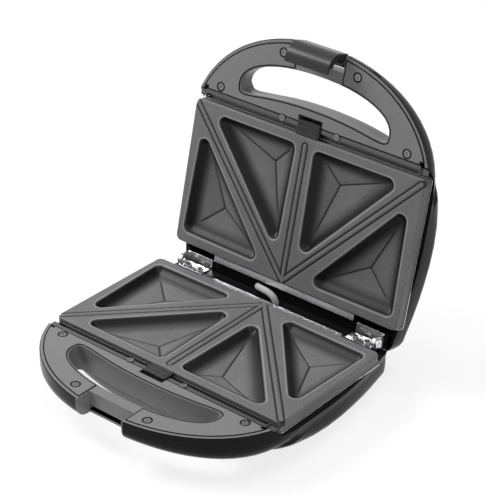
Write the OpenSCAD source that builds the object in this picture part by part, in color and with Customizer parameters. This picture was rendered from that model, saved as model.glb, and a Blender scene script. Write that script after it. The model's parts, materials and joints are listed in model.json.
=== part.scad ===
// Sandwich toaster: two mirror-image halves with crescent handles, hinged at the back.
// Both halves are drawn in a half frame: x right, y back from the plates' front edge, z from the
// parting plane into the half. in_base() and in_lid() then set each half in place, lid open.

/* [Housing] */
// Width over the widest part of the housing
housing_w = 234; // [233:1:242]
// Distance from the plates' front edge forward to the tip of the handle
handle_reach = 74.2; // [70:0.2:80]
// Distance from the plates' front edge back to the rear of the housing
housing_back = 150; // [148:1:156]
// Distance from the plates' front edge back to the widest part of the housing
widest_back = 24; // [18:1:30]
// Distance from the plates' front edge forward to the front of the deep body
body_reach = 23.4; // [21:0.2:25]
// Squareness of the front outline, where 2 is an ellipse
squareness = 2.15; // [2:0.05:2.4]
// Narrowing of each side from the widest part to the rear
side_narrowing = 13.8; // [8:0.2:18]
// Radius of the rear corners in plan
rear_corner_r = 15; // [12:0.5:18]
// Depth of the base from the parting plane to the outside of its body
body_depth = 36; // [34:0.5:40]
// Depth of the lid from the parting plane to the outside of its body
lid_body_depth = 33.5; // [33:0.5:38]
// Depth of the base's handle at its front
handle_depth = 20.5; // [20:0.5:23]
// Depth of the lid's handle at its front
lid_handle_depth = 15.5; // [15:0.5:19]
// How much deeper the handles get towards the body
handle_swell = 6; // [0:0.5:6]
// Radius of the handle's outer lower edge
handle_edge_r = 11; // [6:0.5:11.5]
// Radius of the body's outer edge
body_edge_r = 10; // [8:0.5:13]
// Wall thickness of the housings
wall = 2.5; // [2:0.1:3]
// How far the sides lean out below the rim
side_flare = 1.5; // [0:0.1:2]
// How far the front corners of the body draw in towards its bottom
front_softening = 7; // [0:0.5:9]
// Depth of the housing's side rim below the parting plane
side_rim_depth = 10.6; // [10.4:0.1:12]
// Height of the rubber feet
foot_h = 4; // [3:0.5:8]
// Radius of the rubber feet
foot_r = 7.5; // [6:0.5:9]

/* [Handles] */
// Gap from the parting plane to the handle cover plates
cover_gap = 1.84; // [1.6:0.04:2.2]
// Thickness of the handle cover plates
cover_t = 2; // [1.6:0.1:2.4]
// Width of the bare housing rim outside the cover plates
rim_w = 2.7; // [2:0.1:3.2]
// Straight rear edge of the cover plates, forward of the plates' front edge
cover_rear = 11; // [10.9:0.1:11.6]
// Half width of the finger openings
opening_half_w = 72; // [64:0.5:74]
// Depth of the finger openings in the front-back direction, at the middle
opening_d = 27; // [22:0.5:28]
// Half width of the gap in the cover plates at the latch notch
cover_notch_half_w = 23.3; // [22.8:0.1:24.2]
// Thickness of the strip of handle behind the latch notch
notch_strip_t = 7.6; // [6:0.1:9]

/* [Cooking plates] */
// Width of the cooking plates
plate_w = 224; // [218:1:226]
// Front-to-back size of the cooking plates
plate_d = 124; // [120:0.5:125]
// Gap between the two closed cooking plates
plate_gap = 0.76; // [0.6:0.02:1.2]
// Thickness of the plate sheet
plate_t = 1.6; // [1.2:0.1:1.8]
// Height of the plate skirt
plate_skirt = 8.6; // [8:0.1:8.8]
// Corner radius of the plates
plate_corner_r = 5; // [3:0.5:8]
// Depth of the pockets at their middle
pocket_depth = 10.4; // [8:0.1:10.8]
// Corner radius of the pockets at the plate's face
pocket_corner_r = 6; // [4:0.5:7]
// Width of the sealing ribs
rib_w = 3.2; // [2:0.2:4]
// Height of the sealing ribs above the plate's face
rib_h = 0.22; // [0.1:0.02:0.28]

/* [Trays] */
// Thickness of the tray sheet
tray_t = 0.6; // [0.5:0.1:0.8]
// Depth of the tray floor from the parting plane
tray_floor_depth = 19.8; // [19.8:0.2:22]
// Diameter of the heating element tube
element_d = 6.4; // [5.6:0.1:6.5]

/* [Hinge] */
// Angle of the lid from closed to fully open
open_angle = 101.7; // [95:0.1:102]
// Distance from the plates' front edge back to the hinge axis
hinge_back = 136.3; // [135.5:0.1:137]
// Depth of the hinge axis below the parting plane, inside the base
hinge_drop = 3; // [2:0.1:3.5]
// Radius of the rounded bracket ears
ear_r = 5.2; // [4.6:0.1:5.4]
// Thickness of the bracket sheet
bracket_t = 1.2; // [1:0.1:1.4]
// Distance from the middle to the joint face between the two ears
ear_x = 98.6; // [96:0.1:98.6]
// Length of the brackets' screwed leaf
leaf_w = 25; // [22:0.5:26]
// Radius of the pivot rivets
pivot_r = 2.2; // [1.8:0.1:2.4]
// Radius of the hole down the pivot rivets
rivet_hole_r = 1.4; // [0.8:0.1:1.5]

/* [Latches] */
// Width of the plate release latches
release_w = 21.5; // [18:0.5:24]
// Travel of the plate release latches
release_travel = 2.7; // [2.4:0.1:3]
// Width of the latch clip
clip_w = 41; // [36:0.5:42]
// Thickness of the latch clip's shell
clip_t = 2; // [1.6:0.1:2.2]
// Angle from the clip's free position to its locked position
clip_lock_angle = 8; // [7:0.5:9]
// Depth of the catch edge below the parting plane
catch_depth = 14.4; // [13.5:0.1:15]
// Radius of the latch pin
latch_pin_r = 1.5; // [1.2:0.1:1.8]

/* [Fasteners and fittings] */
// Radius of the cover screws' shanks
cover_screw_r = 1.45; // [1.2:0.05:1.6]
// Radius of the cover screws' heads
cover_screw_head_r = 2.75; // [2.4:0.05:3.2]
// Radius of the strip and bracket screws' shanks
small_screw_r = 1.1; // [0.9:0.05:1.2]
// Radius of the strip and bracket screws' heads
small_screw_head_r = 2.5; // [2:0.1:2.6]
// Radius of the hole through the cord gland
gland_hole_r = 3.4; // [2.8:0.1:3.6]
// Radius of the indicator lenses
lens_r = 3.5; // [2.5:0.1:4]

/* [Hidden] */

$fn = 48;
eps = 0.01;
// running clearance between a pin and its hole, and seat clearance between two still pieces
run_gap = 0.05;
seat_gap = 0.2;
// clearance between pieces of different bodies
move_gap = 0.4;
// the origin lies on the table, in the middle of the ground that the open toaster covers
origin_back = 66;
parting_h = body_depth + foot_h;

// ---- plan outlines ----
half_w = housing_w / 2;
front_steps = 18;
side_steps = 7;
corner_steps = 5;
side_power = 2.43;
arc_power = 2 / squareness;

function side_x(y) =
    half_w - side_narrowing * pow((y - widest_back) / (housing_back - widest_back), side_power);
rear_corner_y = housing_back - rear_corner_r;
rear_corner_x = side_x(rear_corner_y) - rear_corner_r;

// right half of the outline from the front middle to the rear corner, for a front at y = -reach
function right_half(reach) = concat(
    [for (i = [0:front_steps])
        let (s = 90 * i / front_steps)
        [half_w * pow(sin(s), arc_power), widest_back - (widest_back + reach) * pow(cos(s), arc_power)]],
    [for (i = [1:side_steps])
        let (y = widest_back + (rear_corner_y - widest_back) * i / side_steps)
        [side_x(y), y]],
    [for (i = [1:corner_steps])
        let (a = 90 * i / corner_steps)
        [rear_corner_x + rear_corner_r * cos(a), rear_corner_y + rear_corner_r * sin(a)]]
);
function with_mirror(half) = concat(half, [for (i = [len(half) - 1:-1:1]) [-half[i].x, half[i].y]]);

// moves every point of a counterclockwise outline inwards by e along its normal
function inset(points, e) =
    let (n = len(points))
    [for (i = [0:n - 1])
        let (t = points[(i + 1) % n] - points[(i + n - 1) % n])
        points[i] - e * [t.y, -t.x] / norm(t)];
function at_depth(points, z) = [for (p = points) [p.x, p.y, z]];

rim_outline = with_mirror(right_half(handle_reach));
body_outline = with_mirror(right_half(body_reach));

// the front line of the deep body at a distance x from the middle
function body_front(x) =
    widest_back - (widest_back + body_reach) * pow(1 - pow(abs(x) / half_w, squareness), 1 / squareness);

// crescent outline of a finger opening, from the left tip along the front and back along the rear
crescent_steps = 22;
crescent_tip = body_reach + 0.6;
crescent_front_b = opening_d - 0.6;
crescent_tip_power = 5;
function lens_bulge(u, power) = pow(max(0, 1 - pow(abs(u), power)), 1 / power);
crescent = concat(
    [for (i = [0:crescent_steps])
        let (u = sin(-90 + 180 * i / crescent_steps))
        [opening_half_w * u, -crescent_tip - crescent_front_b * lens_bulge(u, squareness)]],
    [for (i = [crescent_steps - 1:-1:1])
        let (u = sin(-90 + 180 * i / crescent_steps), x = opening_half_w * u)
        [x, -crescent_tip + (body_front(x) + crescent_tip) * lens_bulge(u, crescent_tip_power)]]
);

// faces between rings of equal length: a flat four-sided face where both edges stand upright,
// and two triangles elsewhere
function side_faces(rings) =
    [for (k = [0:len(rings) - 2], i = [0:len(rings[0]) - 1])
        let (n = len(rings[0]), j = (i + 1) % n, a = k * n, b = a + n)
        each upright(rings[k][i], rings[k + 1][i]) && upright(rings[k][j], rings[k + 1][j])
            ? [[a + i, b + i, b + j, a + j]]
            : [[a + i, b + i, b + j], [a + i, b + j, a + j]]];
function upright(p, q) = p.x == q.x && p.y == q.y;

// solid through a list of rings of equal length, closed by a flat face at each end
module loft(rings) {
    n = len(rings[0]);
    m = len(rings);
    polyhedron(
        points = [for (r = rings) each r],
        faces = concat(
            [[for (i = [0:n - 1]) i]],
            side_faces(rings),
            [[for (i = [n - 1:-1:0]) (m - 1) * n + i]]
        ),
        convexity = 6
    );
}
// profile rows are [depth, inset]
module outline_loft(outline, rows)
    loft([for (r = rows) at_depth(inset(outline, r[1]), r[0])]);
// quarter round in a profile, from the wall to the flat
function round_rows(z_end, e_start, r, steps) =
    [for (i = [0:steps]) let (a = 90 * i / steps) [z_end - r + r * sin(a), e_start + r * (1 - cos(a))]];
// a profile in the YZ plane swept across x
module across(x_from, x_to)
    translate([x_from, 0, 0]) rotate([90, 0, 90]) linear_extrude(x_to - x_from) children();
module both_sides() {
    children();
    mirror([1, 0, 0]) children();
}
module box(from, to) translate(from) cube(to - from);

// ---- placing the two halves ----
module in_base() translate([0, -origin_back, parting_h]) mirror([0, 0, 1]) children();
module in_lid()
    translate([0, hinge_back - origin_back, parting_h - hinge_drop])
        rotate([-open_angle, 0, 0])
            translate([0, -hinge_back, hinge_drop])
                children();

// ---- derived depths and places of one half ----
rim_top = cover_gap + 0.4;
rim_round = 0.6;
cover_under = cover_gap + cover_t;
cover_seat = cover_under + seat_gap;
cover_inset = rim_w + 0.3;
ledge_w = 1.4;
side_inset = 1.35;
body_draft = 0.15;
inner_inset = cover_inset + ledge_w + 0.1;
plate_face = plate_gap / 2;
plate_foot = plate_face + plate_skirt;
plate_lap = 1;
plate_rear = plate_d - plate_lap;
flange_top = plate_foot + seat_gap;
flange_under = flange_top + tray_t;
// trays
pan_half_w = plate_w / 2 - 5.4;
pan_front = 8;
pan_rear = plate_d - 5;
pan_corner_r = 12;
flange_half_w = plate_w / 2 + 1;
tray_wall_y = plate_d + 0.4;
tray_lip_depth = 3;
deck_front = tray_wall_y + 5.6;
deck_top = 6.3;
deck_t = 2.2;
tray_lip_back = deck_front - 0.6;
tray_lip_half_w = 71;
strip_rear = 7;
strip_front = 10.2;
strip_top = cover_gap + 0.35;
channel_floor = 6.4;
plate_lip_y = 2.8;
strip_half_w = 104.5;
strip_screw_x = 26.6;
strip_screw_y = (strip_front + strip_rear + tray_t) / 2;
// cover screws
screw_outer = [90.7, -15.7];
screw_front = [35.5, -59.7];
boss_r = 3.8;
// release latch and its recess
release_gap = 0.35;
release_front = 13;
release_hook = 1;
release_pocket_half_w = release_w / 2 + release_gap;
release_pocket_front = release_front + release_travel + release_gap;
spring_r = 2.1;
spring_wire_r = 0.3;
spring_depth = 7.6;
spring_seat_y = body_reach - 2.3;
release_foot_y = release_front - 1.6;
// notch, clip and pin
notch_half_w = clip_w / 2 + 1.5;
notch_wall = 2.4;
crescent_front = crescent_tip + crescent_front_b;
notch_back = crescent_front + notch_strip_t + 1;
clip_front = handle_reach - 0.6;
clip_pivot_y = -66;
clip_pivot_depth = 5;
clip_hub_r = latch_pin_r + 1.9;
clip_arc_r = 12.6;
clip_lip_y = -notch_back + 2.6;
clip_lip_depth = catch_depth + 0.3;
// hinge
screw_leaf_x = [ear_x - 19.5, ear_x - 7.5];
leaf_front = deck_front + 0.2;
leaf_back = deck_front + 10.8;
leaf_screw_y = (leaf_front + leaf_back) / 2;
ear_slot_half = 3;
wedge_tan = tan((open_angle + 3.3) / 2);
// fittings
gland_x = -58;
gland_depth = body_depth - 8.2;
gland_r = gland_hole_r + 1.2;
gland_flange_r = gland_r + 0.8;
gland_outer_y = housing_back - 0.4;
gland_flange_t = 1.5;
gland_length = 12;
foot_places = [[82, 14], [82, 120], [96, 68]];
foot_stem_r = 2.5;
lens_x = 10;
lens_y = 6;
link_x = [-26, 0];

// ---- housing ----
// how far the handle stands out from the deep body at every point of the outlines
reach_out = [for (i = [0:len(rim_outline) - 1]) norm(rim_outline[i] - body_outline[i])];
handle_draft = 0.5;
function handle_d(lid) = lid ? lid_handle_depth : handle_depth;
function body_d(lid) = lid ? lid_body_depth : body_depth;
function hinge_d(lid) = lid ? -hinge_drop : hinge_drop;
// the handle grows deeper from its front towards the body
function deepening(i) =
    let (u = min(1, reach_out[i] / (handle_reach - body_reach)))
    4 * u * (1 - u) * handle_swell;

// the sides lean out a little below the rim
function smooth(t) = let (u = max(0, min(1, t))) u * u * (3 - 2 * u);
function flare(i) = side_flare * smooth((body_outline[i].y - widest_back) / 50);
function corner_share(i) = exp(-pow((body_outline[i].y - 16) / 18, 2));

// ring of the handle, drawn inwards by e, but on the sides by no more than the limit;
// share is the part of the swell and the lean that this ring takes
function handle_ring(e, limit, z, share = 0) =
    let (n = len(rim_outline))
    [for (i = [0:n - 1])
        let (
            t = rim_outline[(i + 1) % n] - rim_outline[(i + n - 1) % n],
            d = min(e, limit + reach_out[i] * 0.4) - share * flare(i)
        )
        concat(rim_outline[i] - d * [t.y, -t.x] / norm(t), [z + share * deepening(i)])];
// towards the bottom, where soft grows to 1, the body's front corners draw in
function body_ring(e, z, share = 0, soft = 0) =
    let (n = len(body_outline))
    [for (i = [0:n - 1])
        let (
            t = body_outline[(i + 1) % n] - body_outline[(i + n - 1) % n],
            d = e - flare(i) + soft * front_softening * corner_share(i)
        )
        concat(body_outline[i] - d * [t.y, -t.x] / norm(t), [z + share * deepening(i)])];
function softness(z, from, to) = pow(max(0, (z - from) / (to - from)), 1.5);

// handle and deep body in one skin; the skin turns from the one to the other under the handle
module outer_form(lid) {
    h = handle_d(lid);
    loft(concat(
        [handle_ring(rim_round, 9, rim_top), handle_ring(0, 9, rim_top + rim_round)],
        [for (r = round_rows(h, 0, handle_edge_r, 5))
            handle_ring(r[1], side_inset + r[1] * 0.02, r[0], r[0] / h)],
        [body_ring(side_inset + body_draft, h + handle_draft, 1)],
        [for (r = round_rows(body_d(lid), side_inset + body_draft, body_edge_r, 6))
            body_ring(r[1], r[0], 0, softness(r[0], h, body_d(lid)))]
    ));
}

module inner_form(lid) {
    h = handle_d(lid);
    e = cover_inset + ledge_w;
    loft(concat(
        [
            handle_ring(cover_inset, 9, -1),
            handle_ring(cover_inset, 9, cover_seat),
            handle_ring(e, 9, cover_seat + 0.3),
            handle_ring(e, 9, h - handle_edge_r + 1),
            handle_ring(e + 1.6, e, h - wall - handle_edge_r * 0.35, 0.8),
            handle_ring(e + 6, e + 0.1, h - wall, 1),
            body_ring(inner_inset + 0.2, h - wall + handle_draft, 1)
        ],
        [for (r = round_rows(body_d(lid) - wall, inner_inset + 0.2, body_edge_r - wall, 6))
            body_ring(r[1], r[0], 0, softness(r[0], h, body_d(lid)))]
    ));
}

// the handle's extra depth at a place across it
front_swell = [for (i = [0:len(rim_outline) - 1])
    if (rim_outline[i].x >= 0 && rim_outline[i].y < 0)
        [(rim_outline[i].x + body_outline[i].x) / 2, deepening(i)]];
function swell_at(x) = lookup(abs(x), front_swell);
function under_swell(points, z, more = 0) = [for (p = points) [p.x, p.y, z + more + swell_at(p.x)]];

// the opening's front edge is drawn outwards by e, and its rear edge stays on the body
function flared(e) =
    let (wide = inset(crescent, -e))
    [for (i = [0:len(crescent) - 1]) i <= crescent_steps ? wide[i] : crescent[i]];
module finger_hole(lid) {
    h = handle_d(lid);
    loft([
        at_depth(crescent, -1),
        under_swell(crescent, h - 4),
        under_swell(flared(0.8), h - 1.6),
        under_swell(flared(2.8), h + 1),
        at_depth(flared(4.6), body_d(lid) + 5)
    ]);
}
// the wall's lower edge follows the handle's floor, so that end is closed by a strip of triangles
module finger_wall(lid) {
    rings = [
        at_depth(inset(crescent, -1.2), rim_top + 0.06),
        at_depth(inset(crescent, -1.2), cover_seat + 0.1),
        at_depth(inset(crescent, -2.4), cover_seat + 0.9),
        under_swell(inset(crescent, -2.4), handle_d(lid) - 1)
    ];
    n = len(crescent);
    last = (len(rings) - 1) * n;
    polyhedron(
        points = [for (r = rings) each r],
        faces = concat(
            [for (i = [0:crescent_steps - 2]) [(n - i) % n, i + 1, n - i - 1]],
            [for (i = [1:crescent_steps - 1]) [n - i, i, i + 1]],
            side_faces(rings),
            [for (i = [0:crescent_steps - 2]) [last + (n - i) % n, last + n - i - 1, last + i + 1]],
            [for (i = [1:crescent_steps - 1]) [last + n - i, last + i + 1, last + i]]
        ),
        convexity = 6
    );
}

// everything above the side rims and behind the handle, seen from the side
module above_rim()
    across(-half_w - 5, half_w + 5)
        polygon([
            [-strip_front - 0.2, -5],
            [-strip_front - 0.2, rim_top],
            [-0.5, side_rim_depth],
            [housing_back + 5, side_rim_depth],
            [housing_back + 5, -5]
        ]);

// room behind the hinge that the other half swings into; drop is the hinge axis's depth in this half
function wedge_depth(y, drop) = drop + move_gap / 2 + (y - hinge_back) * wedge_tan;
module swing_room(lid) {
    y_start = hinge_back + 6;
    y_end = housing_back + 6;
    across(-half_w - 5, half_w + 5)
        polygon([
            [y_start, -6],
            [y_start, max(deck_top, wedge_depth(y_start, hinge_d(lid)))],
            [y_end, wedge_depth(y_end, hinge_d(lid))],
            [y_end, -6]
        ]);
}

// shelf behind the tray that carries the hinge brackets, with the bulkhead under it
module rear_deck(lid) {
    y_start = hinge_back + 6;
    y_end = housing_back + 6;
    across(-half_w, half_w)
        polygon([
            [deck_front, deck_top],
            [y_start, deck_top],
            [y_start, wedge_depth(y_start, hinge_d(lid))],
            [y_end, wedge_depth(y_end, hinge_d(lid))],
            [y_end, wedge_depth(y_end, hinge_d(lid)) + deck_t + 1],
            [y_start - deck_t, wedge_depth(y_start, hinge_d(lid)) + deck_t + 1],
            [y_start - deck_t, deck_top + deck_t],
            [deck_front + wall, deck_top + deck_t],
            [deck_front + wall, body_d(lid) - 1],
            [deck_front, body_d(lid) - 1]
        ]);
}

// each boss ends in the handle's floor, which is deeper under the outer screws
module screw_bosses(lid) {
    foot = handle_d(lid) - 1.5 - cover_seat;
    both_sides() {
        translate([screw_outer.x, screw_outer.y, cover_seat]) cylinder(r = boss_r, h = foot + handle_swell);
        translate([screw_front.x, screw_front.y, cover_seat])
            cylinder(r = boss_r, h = foot + 0.13 * handle_swell);
    }
    both_sides()
        translate([strip_screw_x, -strip_screw_y, channel_floor + 1.4])
            cylinder(r = boss_r - 0.6, h = body_d(lid) - wall / 2 - channel_floor - 1.4);
}

module boss_holes(lid) {
    for (p = [screw_outer, screw_front])
        both_sides()
            translate([p.x, p.y, 0]) cylinder(r = cover_screw_r + run_gap, h = handle_d(lid) - 3.5);
    both_sides()
        translate([strip_screw_x, -strip_screw_y, 0])
            cylinder(r = small_screw_r + run_gap, h = channel_floor + 10);
    for (x = screw_leaf_x)
        both_sides()
            translate([x, leaf_screw_y, 0]) cylinder(r = small_screw_r + run_gap, h = deck_top + deck_t + 4);
}

// ribs on the side walls that carry the tray's flange
rib_places = [34, 68, 102];
module tray_ribs(lid)
    for (y = rib_places)
        both_sides()
            box([pan_half_w + tray_t + 0.6, y - 1.2, flange_under + seat_gap], [half_w, y + 1.2, body_d(lid) - wall]);

module leaf_bosses()
    for (x = screw_leaf_x)
        both_sides()
            translate([x, leaf_screw_y, deck_top + 1]) cylinder(r = boss_r - 0.6, h = deck_t + 4);

// block between the latch notch and the finger opening, with the notch's side walls,
// which are thinner beside the cover plate and full width under it
module notch_block(lid) {
    front = -handle_reach - 2;
    back = -crescent_front + 0.5;
    upper_half_w = cover_notch_half_w - seat_gap;
    lower_half_w = notch_half_w + notch_wall;
    box([-upper_half_w, front, rim_top], [upper_half_w, back, handle_d(lid)]);
    box([-lower_half_w, front, cover_seat], [lower_half_w, back, handle_d(lid)]);
}

// a slot in the rear wall of the base's notch takes the lip of the clip
module latch_notch(lid) {
    box([-notch_half_w, -handle_reach - 5, -1], [notch_half_w, -notch_back, handle_depth + 6]);
    if (!lid)
        box([-notch_half_w, -handle_reach - 5, catch_depth],
            [notch_half_w, -crescent_front - 2.4, catch_depth + 4.2]);
}

module release_guides()
    both_sides()
        box([release_pocket_half_w + 0.1, -spring_seat_y - 0.5, cover_seat],
            [release_pocket_half_w + 1.7, -strip_front - 1, spring_depth + 4]);

module release_floor()
    box([-release_pocket_half_w - 1.7, -spring_seat_y - 0.5, spring_depth + spring_r + 0.4],
        [release_pocket_half_w + 1.7, -strip_front - 1, spring_depth + spring_r + 2]);

module ear_slots(lid) {
    slot_depth = max(deck_top, hinge_d(lid) + ear_r) + (lid ? 0.9 : 2);
    both_sides()
        box([ear_x - ear_slot_half, deck_front - 1, -5],
            [ear_x + ear_slot_half + 2, hinge_back + ear_r + 1, slot_depth]);
}

module half_housing(lid)
    difference() {
        union() {
            difference() {
                outer_form(lid);
                difference() {
                    inner_form(lid);
                    notch_block(lid);
                    tray_ribs(lid);
                    rear_deck(lid);
                }
            }
            finger_wall(lid);
            screw_bosses(lid);
            leaf_bosses();
            release_guides();
            release_floor();
        }
        above_rim_keep_deck();
        swing_room(lid);
        finger_hole(lid);
        latch_notch(lid);
        boss_holes(lid);
        ear_slots(lid);
    }
// the rear deck, the ribs and the bosses stand above the side rims, so the cut leaves them
module above_rim_keep_deck()
    difference() {
        above_rim();
        box([-rear_corner_x - 10, deck_front, deck_top], [rear_corner_x + 10, housing_back, 30]);
        box([-release_pocket_half_w - 3, -30, 0], [release_pocket_half_w + 3, -strip_front - 0.9, 30]);
        both_sides()
            translate([strip_screw_x, -strip_screw_y, channel_floor + 1.4]) cylinder(r = boss_r, h = 30);
        for (y = rib_places)
            both_sides()
                box([pan_half_w, y - 1.5, flange_under + seat_gap], [flange_half_w + 0.6, y + 1.5, 30]);
    }

module base_housing() color([0.07, 0.07, 0.08]) in_base() difference() {
    union() {
        half_housing(false);
        gland_boss();
    }
    for (p = foot_places)
        both_sides()
            translate([p.x, p.y, body_depth - wall - 2]) cylinder(r = foot_stem_r + run_gap, h = wall + 4);
    translate([gland_x, housing_back + 5, gland_depth])
        rotate([90, 0, 0]) cylinder(r = gland_r + run_gap, h = gland_length + 8);
    translate([gland_x, housing_back + 5, gland_depth])
        rotate([90, 0, 0])
            cylinder(r = gland_flange_r + seat_gap, h = housing_back + 5.3 - gland_outer_y + gland_flange_t);
    translate([link_x[1], hinge_back, 0]) cylinder(r = link_r + 0.4, h = 12);
}

module gland_boss()
    intersection() {
        difference() {
            translate([gland_x, gland_outer_y - gland_flange_t - seat_gap, gland_depth])
                rotate([90, 0, 0]) cylinder(r = gland_flange_r + 1.2, h = gland_length - gland_flange_t - 2.4);
            swing_room(false);
        }
        box([-half_w, 0, 0], [half_w, housing_back, body_depth]);
    }

module lid_housing() color([0.07, 0.07, 0.08]) in_lid() difference() {
    half_housing(true);
    translate([-half_w / 2, clip_pivot_y, clip_pivot_depth])
        rotate([0, 90, 0]) cylinder(r = latch_pin_r + run_gap, h = half_w);
    for (x = [-lens_x, lens_x])
        translate([x, lens_y, lid_body_depth - wall - 2]) cylinder(r = lens_r + run_gap, h = wall + 4);
    translate([link_x[0], hinge_back, 0]) cylinder(r = link_r + 1.4, h = 12);
}

// ---- handle cover plates ----
module handle_cover() {
    difference() {
        translate([0, 0, cover_gap]) linear_extrude(cover_t) difference() {
            intersection() {
                polygon(inset(rim_outline, cover_inset + seat_gap));
                translate([-half_w, -handle_reach]) square([housing_w, handle_reach - cover_rear]);
            }
            polygon(inset(crescent, -1.2 - seat_gap));
            translate([-cover_notch_half_w, -handle_reach])
                square([2 * cover_notch_half_w, handle_reach - crescent_front + 4]);
            translate([-release_pocket_half_w, -release_pocket_front])
                square([2 * release_pocket_half_w, release_pocket_front]);
            both_sides() translate([strip_half_w - 1.5, -cover_rear - 2.4]) square([20, 5]);
            both_sides() translate([strip_screw_x, -strip_screw_y]) circle(r = small_screw_head_r + seat_gap);
        }
        for (p = [screw_outer, screw_front])
            both_sides() translate([p.x, p.y, 0]) {
                cylinder(r = cover_screw_r + run_gap, h = 8);
                cylinder(r = cover_screw_head_r + 0.9, h = cover_gap + 0.9);
            }
    }
}
module base_handle_cover() color([0.28, 0.28, 0.29]) in_base() handle_cover();
module lid_handle_cover() color([0.28, 0.28, 0.29]) in_lid() handle_cover();

// cross-recess screw with its head's top at z = 0, pointing along +z
module cross_screw(head_r, head_h, shank_r, length)
    difference() {
        union() {
            cylinder(r = head_r, h = head_h);
            cylinder(r = shank_r, h = length);
        }
        for (a = [0, 90])
            rotate([0, 0, a + 45]) translate([-head_r * 0.55, -0.35, -1]) cube([head_r * 1.1, 0.7, 1.5]);
    }
module cover_screws()
    for (p = [screw_outer, screw_front])
        both_sides()
            translate([p.x, p.y, cover_gap + 0.05]) cross_screw(cover_screw_head_r, 0.8, cover_screw_r, 10);
module base_cover_screws() color("silver") in_base() cover_screws();
module lid_cover_screws() color("silver") in_lid() cover_screws();

strip_screw_head_h = 0.9;
module strip_screws()
    both_sides()
        translate([strip_screw_x, -strip_screw_y, strip_top - strip_screw_head_h - 0.05])
            cross_screw(small_screw_head_r, strip_screw_head_h, small_screw_r, channel_floor + 8);
module base_strip_screws() color("silver") in_base() strip_screws();
module lid_strip_screws() color("silver") in_lid() strip_screws();

// ---- trays ----
module rounded_rect(from, to, r) {
    translate([from.x + r, from.y]) square([to.x - from.x - 2 * r, to.y - from.y]);
    translate([from.x, from.y + r]) square([to.x - from.x, to.y - from.y - 2 * r]);
    for (x = [from.x + r, to.x - r], y = [from.y + r, to.y - r])
        translate([x, y]) circle(r = r);
}
module slab(from, to, r, z_from, z_to)
    translate([0, 0, z_from]) linear_extrude(z_to - z_from) rounded_rect(from, to, r);

module tray() {
    t = tray_t;
    difference() {
        union() {
            slab([-flange_half_w, -plate_lip_y], [flange_half_w, tray_wall_y + t], plate_corner_r, flange_top,
                flange_under);
            slab([-pan_half_w, pan_front], [pan_half_w, pan_rear], pan_corner_r, flange_top,
                tray_floor_depth + t);
        }
        slab([-pan_half_w + t, pan_front + t], [pan_half_w - t, pan_rear - t], pan_corner_r - t,
            flange_top - 1, tray_floor_depth);
        for (x = [-element_end_x, element_end_x])
            translate([x, element_rear, tray_floor_depth - 1]) cylinder(r = terminal_r + 1.4, h = 4);
    }
    // rear upstand and lip
    box([-tray_lip_half_w, tray_wall_y, tray_lip_depth], [tray_lip_half_w, tray_wall_y + t, flange_top + eps]);
    box([-tray_lip_half_w, tray_wall_y, tray_lip_depth], [tray_lip_half_w, tray_lip_back, tray_lip_depth + t]);
    front_strip();
}

// folded strip along the front of the tray, with an ear at each end
module front_strip() {
    t = tray_t;
    difference() {
        across(-strip_half_w, strip_half_w)
            polygon([
                [-strip_front, strip_top], [-strip_rear, strip_top], [-strip_rear, channel_floor],
                [-plate_lip_y - t, channel_floor], [-plate_lip_y - t, strip_top + 0.3],
                [-plate_lip_y, strip_top + 0.3], [-plate_lip_y, flange_under],
                [-plate_lip_y - t, flange_under], [-plate_lip_y - t, channel_floor + t],
                [-strip_rear - t, channel_floor + t], [-strip_rear - t, strip_top + t],
                [-strip_front, strip_top + t]
            ]);
        both_sides()
            translate([strip_screw_x, -strip_screw_y, 0]) cylinder(r = small_screw_r + run_gap, h = 20);
        box([-release_pocket_half_w, -strip_front - 1, 0],
            [release_pocket_half_w, -plate_lip_y - t - 0.2, channel_floor - 0.8]);
        box([-release_pocket_half_w, -plate_lip_y - 2, 0], [release_pocket_half_w, 1, strip_top + 0.8]);
    }
    both_sides() {
        box([strip_half_w - t, -strip_front + 1.6, strip_top], [strip_half_w, -plate_lip_y - 0.8, ear_depth + t]);
        box([strip_half_w - t, -strip_front + 1.6, ear_depth],
            [strip_half_w + 6.5, -plate_lip_y - 0.8, ear_depth + t]);
    }
}
ear_depth = 4;
module base_tray() color([0.8, 0.8, 0.82]) in_base() tray();
module lid_tray() color([0.8, 0.8, 0.82]) in_lid() tray();

// ---- heating elements: a tube bent into a rounded loop, its two ends turned down at the rear ----
element_r = element_d / 2;
element_half_w = 78;
element_front = 28;
element_rear = 98;
element_bend_r = 18;
element_end_x = 16;
element_depth = tray_floor_depth - element_r - 0.3;
terminal_r = 1.6;
module tube_x(x_from, x_to, y)
    translate([x_from, y, element_depth]) rotate([0, 90, 0]) cylinder(r = element_r, h = x_to - x_from);
module tube_bend(x, y, turn)
    translate([x, y, element_depth]) rotate([0, 0, turn])
        rotate_extrude(angle = 90) translate([element_bend_r, 0]) circle(r = element_r);
module heating_element() {
    straight_x = element_half_w - element_bend_r;
    tube_x(-straight_x, straight_x, element_front);
    both_sides() {
        tube_bend(straight_x, element_front + element_bend_r, -90);
        tube_bend(straight_x, element_rear - element_bend_r, 0);
        translate([element_half_w, element_front + element_bend_r, element_depth])
            rotate([-90, 0, 0]) cylinder(r = element_r, h = element_rear - element_front - 2 * element_bend_r);
        tube_x(element_end_x - element_r, straight_x, element_rear);
        translate([element_end_x, element_rear, element_depth])
            cylinder(r = terminal_r, h = tray_floor_depth + 4 - element_depth);
    }
}
module base_heating_element() color([0.35, 0.33, 0.32]) in_base() heating_element();
module lid_heating_element() color([0.35, 0.33, 0.32]) in_lid() heating_element();

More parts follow.
